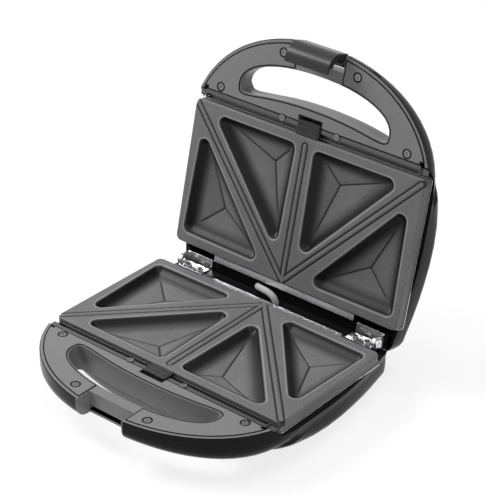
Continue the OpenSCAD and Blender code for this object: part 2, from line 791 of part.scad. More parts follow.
// ---- cooking plates ----
plate_half_w = plate_w / 2;
pocket_a = [[-plate_half_w + 22, 8], [-10, 8], [-12, plate_rear - 27]];
pocket_a_middle = [-32, 30.5];
pocket_b = [[-plate_half_w + 11, 24.5], [-25.5, plate_rear - 9.5], [-plate_half_w + 7.5, plate_rear - 10.5]];
pocket_b_middle = [-plate_half_w + 38.5, plate_rear - 38];
pocket_floor_rim = pocket_depth - 3.2;
corner_points = 4;

function unit(v) = v / norm(v);
function angle_of(v) = atan2(v.y, v.x);
// triangle drawn inwards by e, with corners rounded to radius r
function round_triangle(v, e, r) = [
    for (i = [0:2])
        let (
            to_prev = unit(v[(i + 2) % 3] - v[i]),
            to_next = unit(v[(i + 1) % 3] - v[i]),
            half = acos(to_prev * to_next) / 2,
            c = v[i] + unit(to_prev + to_next) * (e + r) / sin(half),
            start = angle_of([-to_prev.y, to_prev.x])
        )
        for (k = [0:corner_points])
            let (a = start + (180 - 2 * half) * k / corner_points)
            c + r * [cos(a), sin(a)]
];
// rows of [depth below the face, inset, corner radius] down the pocket's steep side
function pocket_rows(grow) = [
    [-0.5 + grow * 0.6, -1.5 - grow * 0.9, pocket_corner_r],
    [grow * 0.4, -1.5 - grow * 0.9, pocket_corner_r],
    [0.8 + grow * 0.6, -0.6 - grow * 0.9, pocket_corner_r],
    [pocket_floor_rim * 0.45 + grow * 0.7, 1.3 - grow * 0.8, pocket_corner_r - 1],
    [pocket_floor_rim * 0.8 + grow * 0.8, 3.3 - grow * 0.6, pocket_corner_r - 2.4],
    [pocket_floor_rim + grow, 6.4 - grow * 0.4, 1.2]
];
module pocket(v, middle, grow) {
    rows = pocket_rows(grow);
    rings = [for (r = rows) at_depth(round_triangle(v, r[1], r[2]), plate_face + r[0])];
    n = len(rings[0]);
    m = len(rings);
    polyhedron(
        points = concat([for (r = rings) each r], [[middle.x, middle.y, plate_face + pocket_depth + grow]]),
        faces = concat(
            [[for (i = [0:n - 1]) i]],
            [for (k = [0:m - 2], i = [0:n - 1])
                let (j = (i + 1) % n)
                [k * n + i, (k + 1) * n + i, (k + 1) * n + j, k * n + j]],
            [for (i = [0:n - 1]) [(m - 1) * n + i, m * n, (m - 1) * n + (i + 1) % n]]
        ),
        convexity = 4
    );
}
module pockets(grow)
    both_sides() {
        pocket(pocket_a, pocket_a_middle, grow);
        pocket(pocket_b, pocket_b_middle, grow);
    }

module sealing_ribs() {
    rib_from = plate_face - rib_h;
    rib_to = plate_face + 0.4;
    box([-rib_w / 2, 7, rib_from], [rib_w / 2, plate_rear - 1.5, rib_to]);
    foot = [0, plate_rear - 2];
    tip = [plate_half_w - 3, 3];
    run = tip - foot;
    both_sides()
        translate([foot.x, foot.y, 0]) rotate([0, 0, angle_of(run)])
            box([2, -rib_w / 2, rib_from], [norm(run) - 2, rib_w / 2, rib_to]);
}

hook_ledge = 1.8;
module cooking_plate() {
    difference() {
        union() {
            difference() {
                slab([-plate_half_w, -plate_lap], [plate_half_w, plate_rear], plate_corner_r, plate_face,
                    plate_foot);
                slab([-plate_half_w + plate_t, -plate_lap + plate_t],
                    [plate_half_w - plate_t, plate_rear - plate_t], plate_corner_r - plate_t,
                    plate_face + plate_t, plate_foot + 1);
            }
            pockets(plate_t);
            sealing_ribs();
            box([-release_pocket_half_w - plate_t, -plate_lap, plate_face],
                [release_pocket_half_w + plate_t, release_hook + 3.4, plate_face + hook_ledge + plate_t]);
        }
        pockets(0);
        box([-release_pocket_half_w, -plate_lap - 1, -1],
            [release_pocket_half_w, release_hook + 0.8, plate_face + hook_ledge]);
    }
}
module lower_cooking_plate() color([0.16, 0.16, 0.17]) in_base() cooking_plate();
module upper_cooking_plate() color([0.16, 0.16, 0.17]) in_lid() cooking_plate();

// ---- plate release latches ----
release_face = 0.5;
release_plate_t = 1.3;
release_floor_depth = spring_depth + spring_r + 0.4;
module release_latch() {
    hw = release_w / 2;
    box([-hw, -release_front, release_face + 0.4], [hw, release_hook, release_face + release_plate_t]);
    for (y = [-release_front, -8.6, -4.2])
        box([-hw + 0.8, y + 0.3, release_face], [hw - 0.8, y + 3.3, release_face + 0.5]);
    box([-hw, -release_front, release_face + 0.4],
        [hw, -release_foot_y + 0.5, release_floor_depth - move_gap]);
}
module base_release_latch() color([0.05, 0.05, 0.05]) in_base() release_latch();
module lid_release_latch() color([0.05, 0.05, 0.05]) in_lid() release_latch();

// coil spring along y, from the latch's foot to the wall of the finger opening
spring_turns = 4;
spring_steps = 10;
module coil(r, wire, length, turns) {
    n = turns * spring_steps;
    loft([for (i = [0:n])
        let (a = 360 * i / spring_steps, y = wire + (length - 2 * wire) * i / n)
        [for (k = [0:5])
            let (b = 60 * k, rr = r - wire + wire * cos(b))
            [rr * cos(a), y + wire * sin(b), rr * sin(a)]]]);
}
module release_spring() {
    length = spring_seat_y - seat_gap - release_front - seat_gap;
    translate([0, -spring_seat_y + seat_gap, spring_depth]) coil(spring_r, spring_wire_r, length, spring_turns);
}
module base_release_spring() color("silver") in_base() release_spring();
module lid_release_spring() color("silver") in_lid() release_spring();

// ---- hinges ----
// leaf on the rear deck with an ear bent towards the other half; the ear's flat faces are at x1 and x2
module hinge_bracket(x1, x2, drop) {
    difference() {
        union() {
            box([ear_x - leaf_w, leaf_front, leaf_depth], [x2, leaf_back, leaf_depth + bracket_t]);
            translate([x1, hinge_back, drop]) rotate([0, 90, 0]) cylinder(r = ear_r, h = x2 - x1);
            box([x1, hinge_back - ear_r, drop], [x2, hinge_back + ear_r, leaf_depth + bracket_t]);
        }
        translate([x1 - 1, hinge_back, drop])
            rotate([0, 90, 0]) cylinder(r = pivot_r + run_gap, h = x2 - x1 + 2);
        for (x = screw_leaf_x)
            translate([x, leaf_screw_y, 0]) cylinder(r = small_screw_r + run_gap, h = 20);
    }
}
leaf_depth = deck_top - bracket_t - 0.1;
inner_ear = [ear_x - 0.2 - bracket_t, ear_x - 0.2];
outer_ear = [ear_x + 0.2, ear_x + 0.2 + bracket_t];
module base_bracket() hinge_bracket(inner_ear[0], inner_ear[1], hinge_drop);
module lid_bracket() hinge_bracket(outer_ear[0], outer_ear[1], -hinge_drop);
module base_hinge_bracket_right() color("lightgray") in_base() base_bracket();
module base_hinge_bracket_left() color("lightgray") in_base() mirror([1, 0, 0]) base_bracket();
module lid_hinge_bracket_right() color("lightgray") in_lid() lid_bracket();
module lid_hinge_bracket_left() color("lightgray") in_lid() mirror([1, 0, 0]) lid_bracket();

bracket_screw_head_h = 1.1;
module bracket_screws()
    for (x = screw_leaf_x)
        both_sides()
            translate([x, leaf_screw_y, leaf_depth - bracket_screw_head_h - 0.05])
                cross_screw(small_screw_head_r, bracket_screw_head_h, small_screw_r, 8);
module base_bracket_screws() color("silver") in_base() bracket_screws();
module lid_bracket_screws() color("silver") in_lid() bracket_screws();

module hinge_pin() {
    rivet_head_t = 1.2;
    head_from = outer_ear[1] + 0.25;
    translate([0, hinge_back, hinge_drop]) rotate([0, 90, 0]) difference() {
        union() {
            translate([0, 0, inner_ear[0]]) cylinder(r = pivot_r, h = head_from - inner_ear[0]);
            translate([0, 0, head_from]) cylinder(r = pivot_r + 1.5, h = rivet_head_t);
        }
        translate([0, 0, inner_ear[0] - 1]) cylinder(r = rivet_hole_r, h = 20);
    }
}
module hinge_pin_right() color("white") in_base() hinge_pin();
module hinge_pin_left() color("white") in_base() mirror([1, 0, 0]) hinge_pin();

// ---- fittings of the base ----
module rubber_feet() color([0.1, 0.1, 0.1]) in_base()
    for (p = foot_places)
        both_sides()
            translate([p.x, p.y, 0]) {
                translate([0, 0, body_depth + eps])
                    cylinder(r1 = foot_r, r2 = foot_r - 0.7, h = foot_h - eps);
                translate([0, 0, body_depth - wall - 0.4]) cylinder(r = foot_stem_r, h = wall + 0.5);
                translate([0, 0, body_depth - wall - 1.8])
                    cylinder(r1 = foot_stem_r - 0.6, r2 = foot_stem_r + 0.6, h = 1.6);
            }

module cord_gland() color([0.06, 0.06, 0.06]) in_base()
    translate([gland_x, gland_outer_y, gland_depth]) rotate([90, 0, 0]) difference() {
        union() {
            cylinder(r = gland_flange_r, h = gland_flange_t);
            cylinder(r = gland_r, h = gland_length);
            translate([0, 0, gland_length - 2]) cylinder(r = gland_flange_r, h = 2);
        }
        translate([0, 0, -1]) cylinder(r = gland_hole_r, h = gland_length + 2);
    }

block_size = [26, 13, 8];
module terminal_block() color([0.9, 0.88, 0.8]) in_base()
    translate([-60, 98, body_depth - wall - block_size.z - 0.1]) difference() {
        cube(block_size);
        for (x = [5, 13, 21]) {
            translate([x, -1, 3.4]) rotate([-90, 0, 0]) cylinder(r = 1.5, h = 20);
            translate([x, 4, -1]) cylinder(r = 1.3, h = 4);
            translate([x, 9, -1]) cylinder(r = 1.3, h = 4);
        }
    }

tray_under = tray_floor_depth + tray_t;
module thermostat() color([0.85, 0.82, 0.75]) in_base()
    translate([0, 62, tray_under + 0.1]) {
        cylinder(r = 8, h = 4.6);
        for (x = [-5, 3.4]) translate([x, -1.5, 4]) cube([1.6, 3, 5]);
    }
module thermal_fuse() color([0.75, 0.7, 0.6]) in_base()
    translate([24, 44, tray_under + 2.2]) rotate([0, 90, 0]) {
        cylinder(r = 2, h = 11);
        translate([0, 0, -8]) cylinder(r = 0.5, h = 27);
    }

// flexible sleeve for the wires from the base to the lid
link_r = 2.8;
link_steps = 12;
function lid_point(p) =
    let (dy = p.y - hinge_back, dz = p.z + hinge_drop, c = cos(open_angle), s = sin(open_angle))
    [p.x, hinge_back + dy * c + dz * s, -hinge_drop - dy * s + dz * c];
link_start = [link_x[1], hinge_back, -deck_top - 2];
link_end = lid_point([link_x[0], hinge_back, deck_top + 2]);
link_rise = [[0, 0, 14], [3, -12, 5]];
function blend4(a, b, c, d, t) =
    a * pow(1 - t, 3) + 3 * b * pow(1 - t, 2) * t + 3 * c * (1 - t) * pow(t, 2) + d * pow(t, 3);
function link_point(t) =
    blend4(link_start, link_start + link_rise[0], link_end + link_rise[1], link_end, t);
module link_sleeve() color([0.5, 0.5, 0.5]) translate([0, -origin_back, parting_h])
    loft([for (i = [0:link_steps])
        let (
            t = i / link_steps,
            p = link_point(t),
            d = unit3(link_point(min(1, t + 0.02)) - link_point(max(0, t - 0.02))),
            u = unit3(cross(d, [0, 1, 0.2])),
            w = cross(d, u)
        )
        [for (k = [0:9]) p + link_r * (cos(36 * k) * u + sin(36 * k) * w)]]);
function unit3(v) = v / norm(v);

// ---- latch clip and its pin ----
clip_arc_middle = [-clip_front + clip_arc_r, clip_arc_r - clip_lip_depth - clip_t];
module clip_profile() {
    m = clip_arc_middle;
    intersection() {
        translate(m) difference() {
            circle(r = clip_arc_r);
            circle(r = clip_arc_r - clip_t);
        }
        translate([m.x - 30, m.y - 30]) square(30);
    }
    translate([-clip_front, m.y - eps]) square([clip_t, clip_pivot_depth + clip_t / 2 - m.y + eps]);
    translate([m.x - eps, -clip_lip_depth - clip_t]) square([clip_lip_y - m.x + eps, clip_t]);
    translate([-clip_front, clip_pivot_depth - clip_t / 2]) square([clip_front + clip_pivot_y, clip_t]);
    translate([clip_pivot_y, clip_pivot_depth]) circle(r = clip_hub_r);
}
module clip_rib_profile() {
    m = clip_arc_middle;
    intersection() {
        translate(m) difference() {
            circle(r = clip_arc_r - clip_t / 2);
            circle(r = clip_arc_r - clip_t - 3.5);
        }
        translate([m.x - 30, m.y - 30]) square(30);
    }
    translate([-clip_front + clip_t / 2, m.y - eps]) square([clip_t / 2 + 3.5, 9]);
}
module latch_clip() color([0.05, 0.05, 0.05]) in_lid()
    translate([0, clip_pivot_y, clip_pivot_depth]) rotate([-clip_lock_angle, 0, 0])
        translate([0, -clip_pivot_y, -clip_pivot_depth]) difference() {
            union() {
                across(-clip_w / 2, clip_w / 2) clip_profile();
                for (x = [-clip_w / 2, -5, 3.8, clip_w / 2 - 1.2]) across(x, x + 1.2) clip_rib_profile();
            }
            translate([-half_w / 2, clip_pivot_y, clip_pivot_depth])
                rotate([0, 90, 0]) cylinder(r = latch_pin_r + run_gap, h = half_w);
        }
module latch_pin() color("silver") in_lid()
    translate([seat_gap - cover_notch_half_w, clip_pivot_y, clip_pivot_depth])
        rotate([0, 90, 0]) cylinder(r = latch_pin_r, h = 2 * (cover_notch_half_w - seat_gap));

// ---- indicator lamps in the lid ----
module lens() {
    translate([0, 0, lid_body_depth - wall - 3]) cylinder(r = lens_r, h = wall + 3.4);
    translate([0, 0, lid_body_depth - wall - 1.3]) cylinder(r = lens_r + 1, h = 1.2);
    translate([0, 0, lid_body_depth + 0.4]) intersection() {
        translate([0, 0, -lens_r * 1.6]) sphere(r = lens_r * sqrt(1 + 1.6 * 1.6));
        cylinder(r = lens_r, h = 2);
    }
}
module power_lens() color([0.8, 0.1, 0.05]) in_lid() translate([-lens_x, lens_y, 0]) lens();
module ready_lens() color([0.1, 0.6, 0.15]) in_lid() translate([lens_x, lens_y, 0]) lens();
board_top = lid_body_depth - wall - 3.2;
module lamp_board() color([0.15, 0.35, 0.15]) in_lid() {
    post_r = 1.4;
    post_x = lens_x + lens_r + 1 + post_r + seat_gap;
    box([-post_x - 2.4, lens_y - 6, board_top - 1.6], [post_x + 2.4, lens_y + 6, board_top]);
    both_sides() translate([post_x, lens_y, board_top - eps]) cylinder(r = post_r, h = 3);
}

base_housing();
base_handle_cover();
base_tray();
base_heating_element();
lower_cooking_plate();
base_release_latch();
base_release_spring();
base_cover_screws();
base_strip_screws();
base_hinge_bracket_left();
base_hinge_bracket_right();
base_bracket_screws();
hinge_pin_left();
hinge_pin_right();
rubber_feet();
cord_gland();
terminal_block();
thermostat();
thermal_fuse();
link_sleeve();
lid_housing();
lid_handle_cover();
lid_tray();
lid_heating_element();
upper_cooking_plate();
lid_release_latch();
lid_release_spring();
lid_cover_screws();
lid_strip_screws();
lid_hinge_bracket_left();
lid_hinge_bracket_right();
lid_bracket_screws();
latch_pin();
latch_clip();
power_lens();
ready_lens();
lamp_board();
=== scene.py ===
"""The looks of an open sandwich toaster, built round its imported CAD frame.

Every sub-assembly is a class that makes its own meshes and dresses the CAD nodes that it owns.
Lengths inside a class are millimetres in its half of the toaster: x to the right, y from the front
edge of the cooking plates to the hinge, and z from the parting plane down into the half.
"""

from __future__ import annotations

import json
import logging
import math
from dataclasses import dataclass, field
from enum import Enum
from typing import Iterable, Sequence

import bmesh
import bpy
import numpy as np
from mathutils import Matrix, Vector

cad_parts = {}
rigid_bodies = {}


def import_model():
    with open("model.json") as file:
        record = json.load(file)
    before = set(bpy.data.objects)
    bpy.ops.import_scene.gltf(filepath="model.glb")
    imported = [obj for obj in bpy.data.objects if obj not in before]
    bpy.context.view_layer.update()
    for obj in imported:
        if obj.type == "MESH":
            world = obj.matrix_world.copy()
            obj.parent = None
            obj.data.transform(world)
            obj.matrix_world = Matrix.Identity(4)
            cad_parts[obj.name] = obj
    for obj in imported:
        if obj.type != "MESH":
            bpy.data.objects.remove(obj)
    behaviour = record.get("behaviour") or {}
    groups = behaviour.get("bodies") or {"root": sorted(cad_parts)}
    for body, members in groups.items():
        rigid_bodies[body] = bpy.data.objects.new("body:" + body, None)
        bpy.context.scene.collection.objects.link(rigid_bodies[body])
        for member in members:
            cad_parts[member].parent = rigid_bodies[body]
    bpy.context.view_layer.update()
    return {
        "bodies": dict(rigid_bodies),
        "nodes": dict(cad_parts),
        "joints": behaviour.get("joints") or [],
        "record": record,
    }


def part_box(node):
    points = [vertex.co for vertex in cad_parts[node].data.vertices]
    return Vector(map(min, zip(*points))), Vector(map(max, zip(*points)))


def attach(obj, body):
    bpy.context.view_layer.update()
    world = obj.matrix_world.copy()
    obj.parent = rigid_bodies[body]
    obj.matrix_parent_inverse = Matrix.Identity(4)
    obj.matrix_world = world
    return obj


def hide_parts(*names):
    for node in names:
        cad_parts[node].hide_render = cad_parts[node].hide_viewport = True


LOG = logging.getLogger("sandwich_toaster")
MM = 0.001
Colour = tuple[float, float, float]


# ---------------------------------------------------------------- finishes


class Pattern(Enum):
    """Ways in which a finish varies over a surface."""

    GRAIN = "even moulded grain"
    BRUSHED_X = "brushed from side to side"
    BRUSHED_Y = "brushed from front to back"


class NodeSheet:
    """A material's node tree with short calls to add and join nodes."""

    def __init__(self, name: str) -> None:
        """Starts an empty node material.

        Args:
            name: The material's name.
        """
        self.material = bpy.data.materials.new(name)
        self.material.use_nodes = True
        self.tree = self.material.node_tree
        self.tree.nodes.clear()

    def add(self, kind: str, settings: dict | None = None, **sockets: object) -> bpy.types.Node:
        """Adds a node, sets its properties, and sets or links its inputs.

        Args:
            kind: The node's type name without the leading ShaderNode.
            settings: Properties of the node itself.
            sockets: Inputs by name, with underscores for spaces: a value or an output socket.

        Returns:
            The new node.
        """
        node = self.tree.nodes.new("ShaderNode" + kind)
        for key, value in (settings or {}).items():
            setattr(node, key, value)
        for key, value in sockets.items():
            name = key.replace("_", " ")
            socket = next(s for s in node.inputs if s.name == name and s.enabled)
            if isinstance(value, bpy.types.NodeSocket):
                self.tree.links.new(value, socket)
            else:
                socket.default_value = value
        return node

    def ramp(
        self, source: bpy.types.NodeSocket, stops: Sequence[tuple[float, Colour]],
    ) -> bpy.types.NodeSocket:
        """Maps a value to a colour ramp.

        Args:
            source: The value that drives the ramp.
            stops: Pairs of position and colour.

        Returns:
            The ramp's colour output.
        """
        node = self.add("ValToRGB", Fac=source)
        elements = node.color_ramp.elements
        while len(elements) < len(stops):
            elements.new(0.5)
        for element, (place, colour) in zip(elements, stops):
            element.position = place
            element.color = (*colour, 1.0)
        return node.outputs["Color"]

    def spread(self, source: bpy.types.NodeSocket, low: float, high: float) -> bpy.types.NodeSocket:
        """Stretches a value from 0…1 to low…high."""
        return self.add("MapRange", Value=source, To_Min=low, To_Max=high).outputs["Result"]

    def noise(
        self, place: bpy.types.NodeSocket, scale: float, detail: float, roughness: float,
    ) -> bpy.types.NodeSocket:
        """Adds a noise pattern.

        Args:
            place: Where on the surface it is read.
            scale: How fine it is.
            detail: How many finer layers it has.
            roughness: How strong the finer layers are.

        Returns:
            The noise's value.
        """
        node = self.add("TexNoise", Vector=place, Scale=scale, Detail=detail, Roughness=roughness)
        return node.outputs["Fac"]

    def join(self, kind: str, first: bpy.types.NodeSocket,
             second: bpy.types.NodeSocket | float) -> bpy.types.NodeSocket:
        """Joins two values by a sum that the Math node knows.

        Args:
            kind: The sum, such as MULTIPLY or MAXIMUM.
            first: The first value.
            second: The second value, another node's or a number.

        Returns:
            The result.
        """
        node = self.add("Math", {"operation": kind})
        self.tree.links.new(first, node.inputs[0])
        if isinstance(second, bpy.types.NodeSocket):
            self.tree.links.new(second, node.inputs[1])
        else:
            node.inputs[1].default_value = second
        return node.outputs[0]

    def mix(self, share: bpy.types.NodeSocket | float, first: bpy.types.NodeSocket,
            second: bpy.types.NodeSocket | Colour, blend: str = "MIX") -> bpy.types.NodeSocket:
        """Mixes two colours.

        Args:
            share: How much of the second colour shows.
            first: The first colour.
            second: The second colour, another node's or plain.
            blend: The way in which the two are mixed.

        Returns:
            The mixed colour.
        """
        node = self.add("Mix", {"data_type": "RGBA", "blend_type": blend})
        if isinstance(share, bpy.types.NodeSocket):
            self.tree.links.new(share, node.inputs[0])
        else:
            node.inputs[0].default_value = share
        self.tree.links.new(first, node.inputs[6])
        if isinstance(second, bpy.types.NodeSocket):
            self.tree.links.new(second, node.inputs[7])
        else:
            node.inputs[7].default_value = (*second, 1.0)
        return node.outputs[2]

    def finish(self, shader: bpy.types.Node) -> bpy.types.Material:
        """Joins the shader to the output.

        Args:
            shader: The node that the surface shows.

        Returns:
            The finished material.
        """
        output = self.tree.nodes.new("ShaderNodeOutputMaterial")
        self.tree.links.new(shader.outputs[0], output.inputs["Surface"])
        return self.material


@dataclass(frozen=True)
class Finish:
    """A surface finish with a slow tone drift, a fine grain and softly caught edges."""

    name: str
    colour: Colour
    roughness: float
    metallic: float = 0.0
    specular: float = 0.5
    drift: float = 0.12
    rough_spread: float = 0.06
    grain: float = 900.0
    grain_depth: float = 0.00002
    edge_radius: float = 0.0004
    pattern: Pattern = Pattern.GRAIN
    slot: str = ""
    drift_scale: float = 18.0
    speck_scale: float = 0.35
    line_stretch: float = 0.02
    edge_samples: int = 4

    def stretch(self) -> tuple[float, float, float]:
        """Scale of the grain along each axis, so that a brushed finish gets long lines.

        Returns:
            The scales along x, y and z.
        """
        if self.pattern is Pattern.BRUSHED_X:
            return self.line_stretch, 1.0, 1.0
        if self.pattern is Pattern.BRUSHED_Y:
            return 1.0, self.line_stretch, 1.0
        return 1.0, 1.0, 1.0

    def build(self) -> bpy.types.Material:
        """Writes the node material.

        Returns:
            The finished material.
        """
        sheet = NodeSheet(self.name)
        place = sheet.add("TexCoord").outputs["Object"]
        long = sheet.add("Mapping", Vector=place, Scale=self.stretch()).outputs["Vector"]
        slow = sheet.noise(place, self.drift_scale, 3.0, 0.55)
        fine = sheet.noise(long, self.grain, 4.0, 0.6)
        speck = sheet.noise(long, self.grain * self.speck_scale, 2.0, 0.5)
        both = sheet.join("ADD", sheet.join("MULTIPLY", speck, 0.5), sheet.join("MULTIPLY", slow, 0.5))
        dark = tuple(c * (1 - self.drift) for c in self.colour)
        light = tuple(min(1.0, c * (1 + self.drift)) for c in self.colour)
        tone = sheet.ramp(both, [(0.3, dark), (0.7, light)])
        rough = sheet.spread(fine, self.roughness - self.rough_spread, self.roughness + self.rough_spread)
        edge = sheet.add("Bevel", {"samples": self.edge_samples}, Radius=self.edge_radius).outputs["Normal"]
        bump = sheet.add("Bump", Height=fine, Distance=self.grain_depth, Strength=1.0, Normal=edge)
        shader = sheet.add(
            "BsdfPrincipled", Base_Color=tone, Roughness=rough, Metallic=self.metallic,
            Specular_IOR_Level=self.specular, Normal=bump.outputs["Normal"],
        )
        return sheet.finish(shader)


@dataclass(frozen=True)
class PressedCoating:
    """Non-stick coating of the plates, with painted shade on the pocket walls, in the creases and in the
    pressed lines, and a painted highlight along the pocket lips.
    """

    name: str = "nonstick_coating"
    colour: Colour = (0.13, 0.13, 0.1325)
    # Painted shade: the near-black colour mixed in on the pocket walls, in the creases and in the rib
    # grooves.
    shade_colour: Colour = (0.004, 0.004, 0.004)
    # Painted highlight: the light colour mixed in along the pocket lips.
    highlight_colour: Colour = (0.26, 0.26, 0.265)
    cloud_colour: Colour = (0.86, 0.86, 0.86)
    dark_share: float = 0.72
    light_share: float = 1.35
    roughness: float = 0.36
    smoother: float = 0.08
    rougher: float = 0.1
    specular: float = 0.16
    speckle_scale: float = 1400.0
    speckle_depth: float = 0.00004
    cloud_scale: float = 30.0
    slot: str = "nonstick"

    def build(self) -> bpy.types.Material:
        """Writes the node material.

        Returns:
            The finished material.
        """
        sheet = NodeSheet(self.name)
        place = sheet.add("TexCoord").outputs["Object"]
        speckle = sheet.noise(place, self.speckle_scale, 3.0, 0.65)
        cloud = sheet.noise(place, self.cloud_scale, 4.0, 0.5)
        dark = tuple(self.dark_share * c for c in self.colour)
        light = tuple(self.light_share * c for c in self.colour)
        tone = sheet.ramp(speckle, [(0.32, dark), (0.52, self.colour), (0.72, light)])
        clouds = sheet.ramp(cloud, [(0.3, self.cloud_colour), (0.7, (1.0, 1.0, 1.0))])
        toned = sheet.mix(1.0, tone, clouds, "MULTIPLY")
        # The first attribute is painted shade on the pocket walls, creases and rib grooves; the second is a
        # painted highlight along the pocket lips.
        pressed = sheet.add("Attribute", {"attribute_name": "pressed"}).outputs["Fac"]
        painted_highlight = sheet.add("Attribute", {"attribute_name": "painted_highlight"}).outputs["Fac"]
        shaded_and_lit = sheet.mix(painted_highlight, sheet.mix(pressed, toned, self.shade_colour), self.highlight_colour)
        rough = sheet.spread(speckle, self.roughness - self.smoother, self.roughness + self.rougher)
        bump = sheet.add("Bump", Height=speckle, Distance=self.speckle_depth, Strength=1.0)
        shader = sheet.add(
            "BsdfPrincipled", Base_Color=shaded_and_lit, Roughness=rough, Metallic=0.0,
            Specular_IOR_Level=self.specular, Normal=bump.outputs["Normal"],
        )
        return sheet.finish(shader)


@dataclass(frozen=True)
class LampGlass:
    """Tinted plastic of an indicator lamp."""

    name: str
    colour: Colour
    slot: str = ""
    cells: float = 900.0
    cell_depth: float = 0.0001
    shade: float = 0.55
    roughness: float = 0.12
    refraction: float = 1.49
    clearness: float = 0.35

    def build(self) -> bpy.types.Material:
        """Writes the node material.

        Returns:
            The finished material.
        """
        sheet = NodeSheet(self.name)
        place = sheet.add("TexCoord").outputs["Object"]
        cells = sheet.add("TexVoronoi", Vector=place, Scale=self.cells).outputs["Distance"]
        dark = tuple(self.shade * c for c in self.colour)
        tone = sheet.ramp(cells, [(0.0, self.colour), (0.6, dark)])
        bump = sheet.add("Bump", Height=cells, Distance=self.cell_depth, Strength=0.5)
        shader = sheet.add(
            "BsdfPrincipled", Base_Color=tone, Roughness=self.roughness, IOR=self.refraction,
            Transmission_Weight=self.clearness, Normal=bump.outputs["Normal"],
        )
        return sheet.finish(shader)


Coat = Finish | PressedCoating | LampGlass

SHELL = Finish("shell_black_plastic", (0.005, 0.005, 0.0053), 0.22, specular=0.09, slot="shell")
FACE = Finish("satin_grey_face", (0.155, 0.155, 0.158), 0.4, specular=0.12, drift=0.05, slot="cover")
WELL = Finish("finger_well_plastic", (0.15, 0.15, 0.152), 0.3, specular=0.2, drift=0.05, slot="shell")
# Painted shadow: near-black material for the beads laid in the gaps round the cover plates.
SEAM = Finish("seam_shadow", (0.006, 0.006, 0.006), 0.6, specular=0.1, slot="shell")
LATCH = Finish("latch_black_plastic", (0.02, 0.02, 0.021), 0.25, specular=0.25, slot="latch")
COATING = PressedCoating()
TRAY = Finish(
    "tray_bright_steel", (0.8, 0.8, 0.81), 0.2, metallic=1.0, pattern=Pattern.BRUSHED_X, slot="tray_steel",
    edge_radius=0.0002,
)
STRIP = Finish(
    "strip_dark_steel", (0.09, 0.09, 0.092), 0.3, metallic=0.6, pattern=Pattern.BRUSHED_X, slot="tray_steel",
    edge_radius=0.0003,
)
HINGE = Finish(
    "hinge_pressed_steel", (0.72, 0.72, 0.73), 0.24, metallic=1.0, pattern=Pattern.BRUSHED_Y,
    slot="hinge_steel",
)
SCREW = Finish("screw_zinc", (0.2, 0.2, 0.205), 0.34, metallic=1.0, slot="screw_steel", edge_radius=0.00015)
RIVET = Finish("rivet_steel", (0.78, 0.78, 0.8), 0.18, metallic=1.0, slot="rivet_steel", edge_radius=0.0002)
SPRING = Finish("spring_steel", (0.6, 0.6, 0.62), 0.25, metallic=1.0, slot="spring_steel", edge_radius=0.0001)
ELEMENT = Finish("element_sheath", (0.16, 0.15, 0.14), 0.45, metallic=0.8, slot="element_sheath")
FOOT = Finish("foot_rubber", (0.018, 0.018, 0.018), 0.75, specular=0.25, grain=500.0, slot="foot_rubber")
GLAND = Finish("gland_rubber", (0.014, 0.014, 0.014), 0.65, specular=0.3, grain=500.0, slot="gland_rubber")
CERAMIC = Finish("terminal_ceramic", (0.78, 0.75, 0.68), 0.55, slot="ceramic")
SLEEVE = Finish("wire_sleeve_braid", (0.3, 0.3, 0.3), 0.6, grain=1800.0, grain_depth=0.0001, slot="sleeve")
BOARD = Finish("lamp_board", (0.05, 0.16, 0.07), 0.5, slot="board")
RED_LENS = LampGlass("lens_red", (0.55, 0.02, 0.015), slot="lens_red")
GREEN_LENS = LampGlass("lens_green", (0.03, 0.4, 0.06), slot="lens_green")


class Palette:
    """Builds each finish once."""

    def __init__(self) -> None:
        """Starts with no material made."""
        self.made: dict[str, bpy.types.Material] = {}

    def get(self, finish: Coat) -> bpy.types.Material:
        """The material of a finish, made when it is first asked for.

        Args:
            finish: The finish.

        Returns:
            Its material.
        """
        if finish.name not in self.made:
            self.made[finish.name] = finish.build()
        return self.made[finish.name]


# ---------------------------------------------------------------- the two halves


@dataclass(frozen=True)
class Half:
    """Turns a half's own millimetres into the frame's metres."""

    lid: bool
    back: float
    parting: float
    hinge_back: float
    hinge_drop: float
    angle: float

    @property
    def body(self) -> str:
        """The CAD body that the half rides on."""
        return "lid" if self.lid else "base"

    def place(self, points: np.ndarray) -> np.ndarray:
        """Moves points from the half's millimetres to the frame's metres.

        Args:
            points: Rows of x, y and z.

        Returns:
            Rows of x, y and z in metres.
        """
        p = np.asarray(points, float)
        if not self.lid:
            y, z = p[:, 1] - self.back, self.parting - p[:, 2]
        else:
            dy, dz = p[:, 1] - self.hinge_back, p[:, 2] + self.hinge_drop
            c, s = math.cos(self.angle), math.sin(self.angle)
            y = self.hinge_back - self.back + dy * c + dz * s
            z = self.parting - self.hinge_drop - dy * s + dz * c
        return np.stack([p[:, 0], y, z], axis=1) * MM

    def local(self, points: np.ndarray) -> np.ndarray:
        """Moves points back from the frame's metres to the half's millimetres.

        Args:
            points: Rows of x, y and z in metres.

        Returns:
            Rows of x, y and z.
        """
        p = np.asarray(points, float) / MM
        if not self.lid:
            return np.stack([p[:, 0], p[:, 1] + self.back, self.parting - p[:, 2]], axis=1)
        a = p[:, 1] - (self.hinge_back - self.back)
        b = p[:, 2] - (self.parting - self.hinge_drop)
        c, s = math.cos(self.angle), math.sin(self.angle)
        dy, dz = a * c - b * s, a * s + b * c
        return np.stack([p[:, 0], dy + self.hinge_back, dz - self.hinge_drop], axis=1)


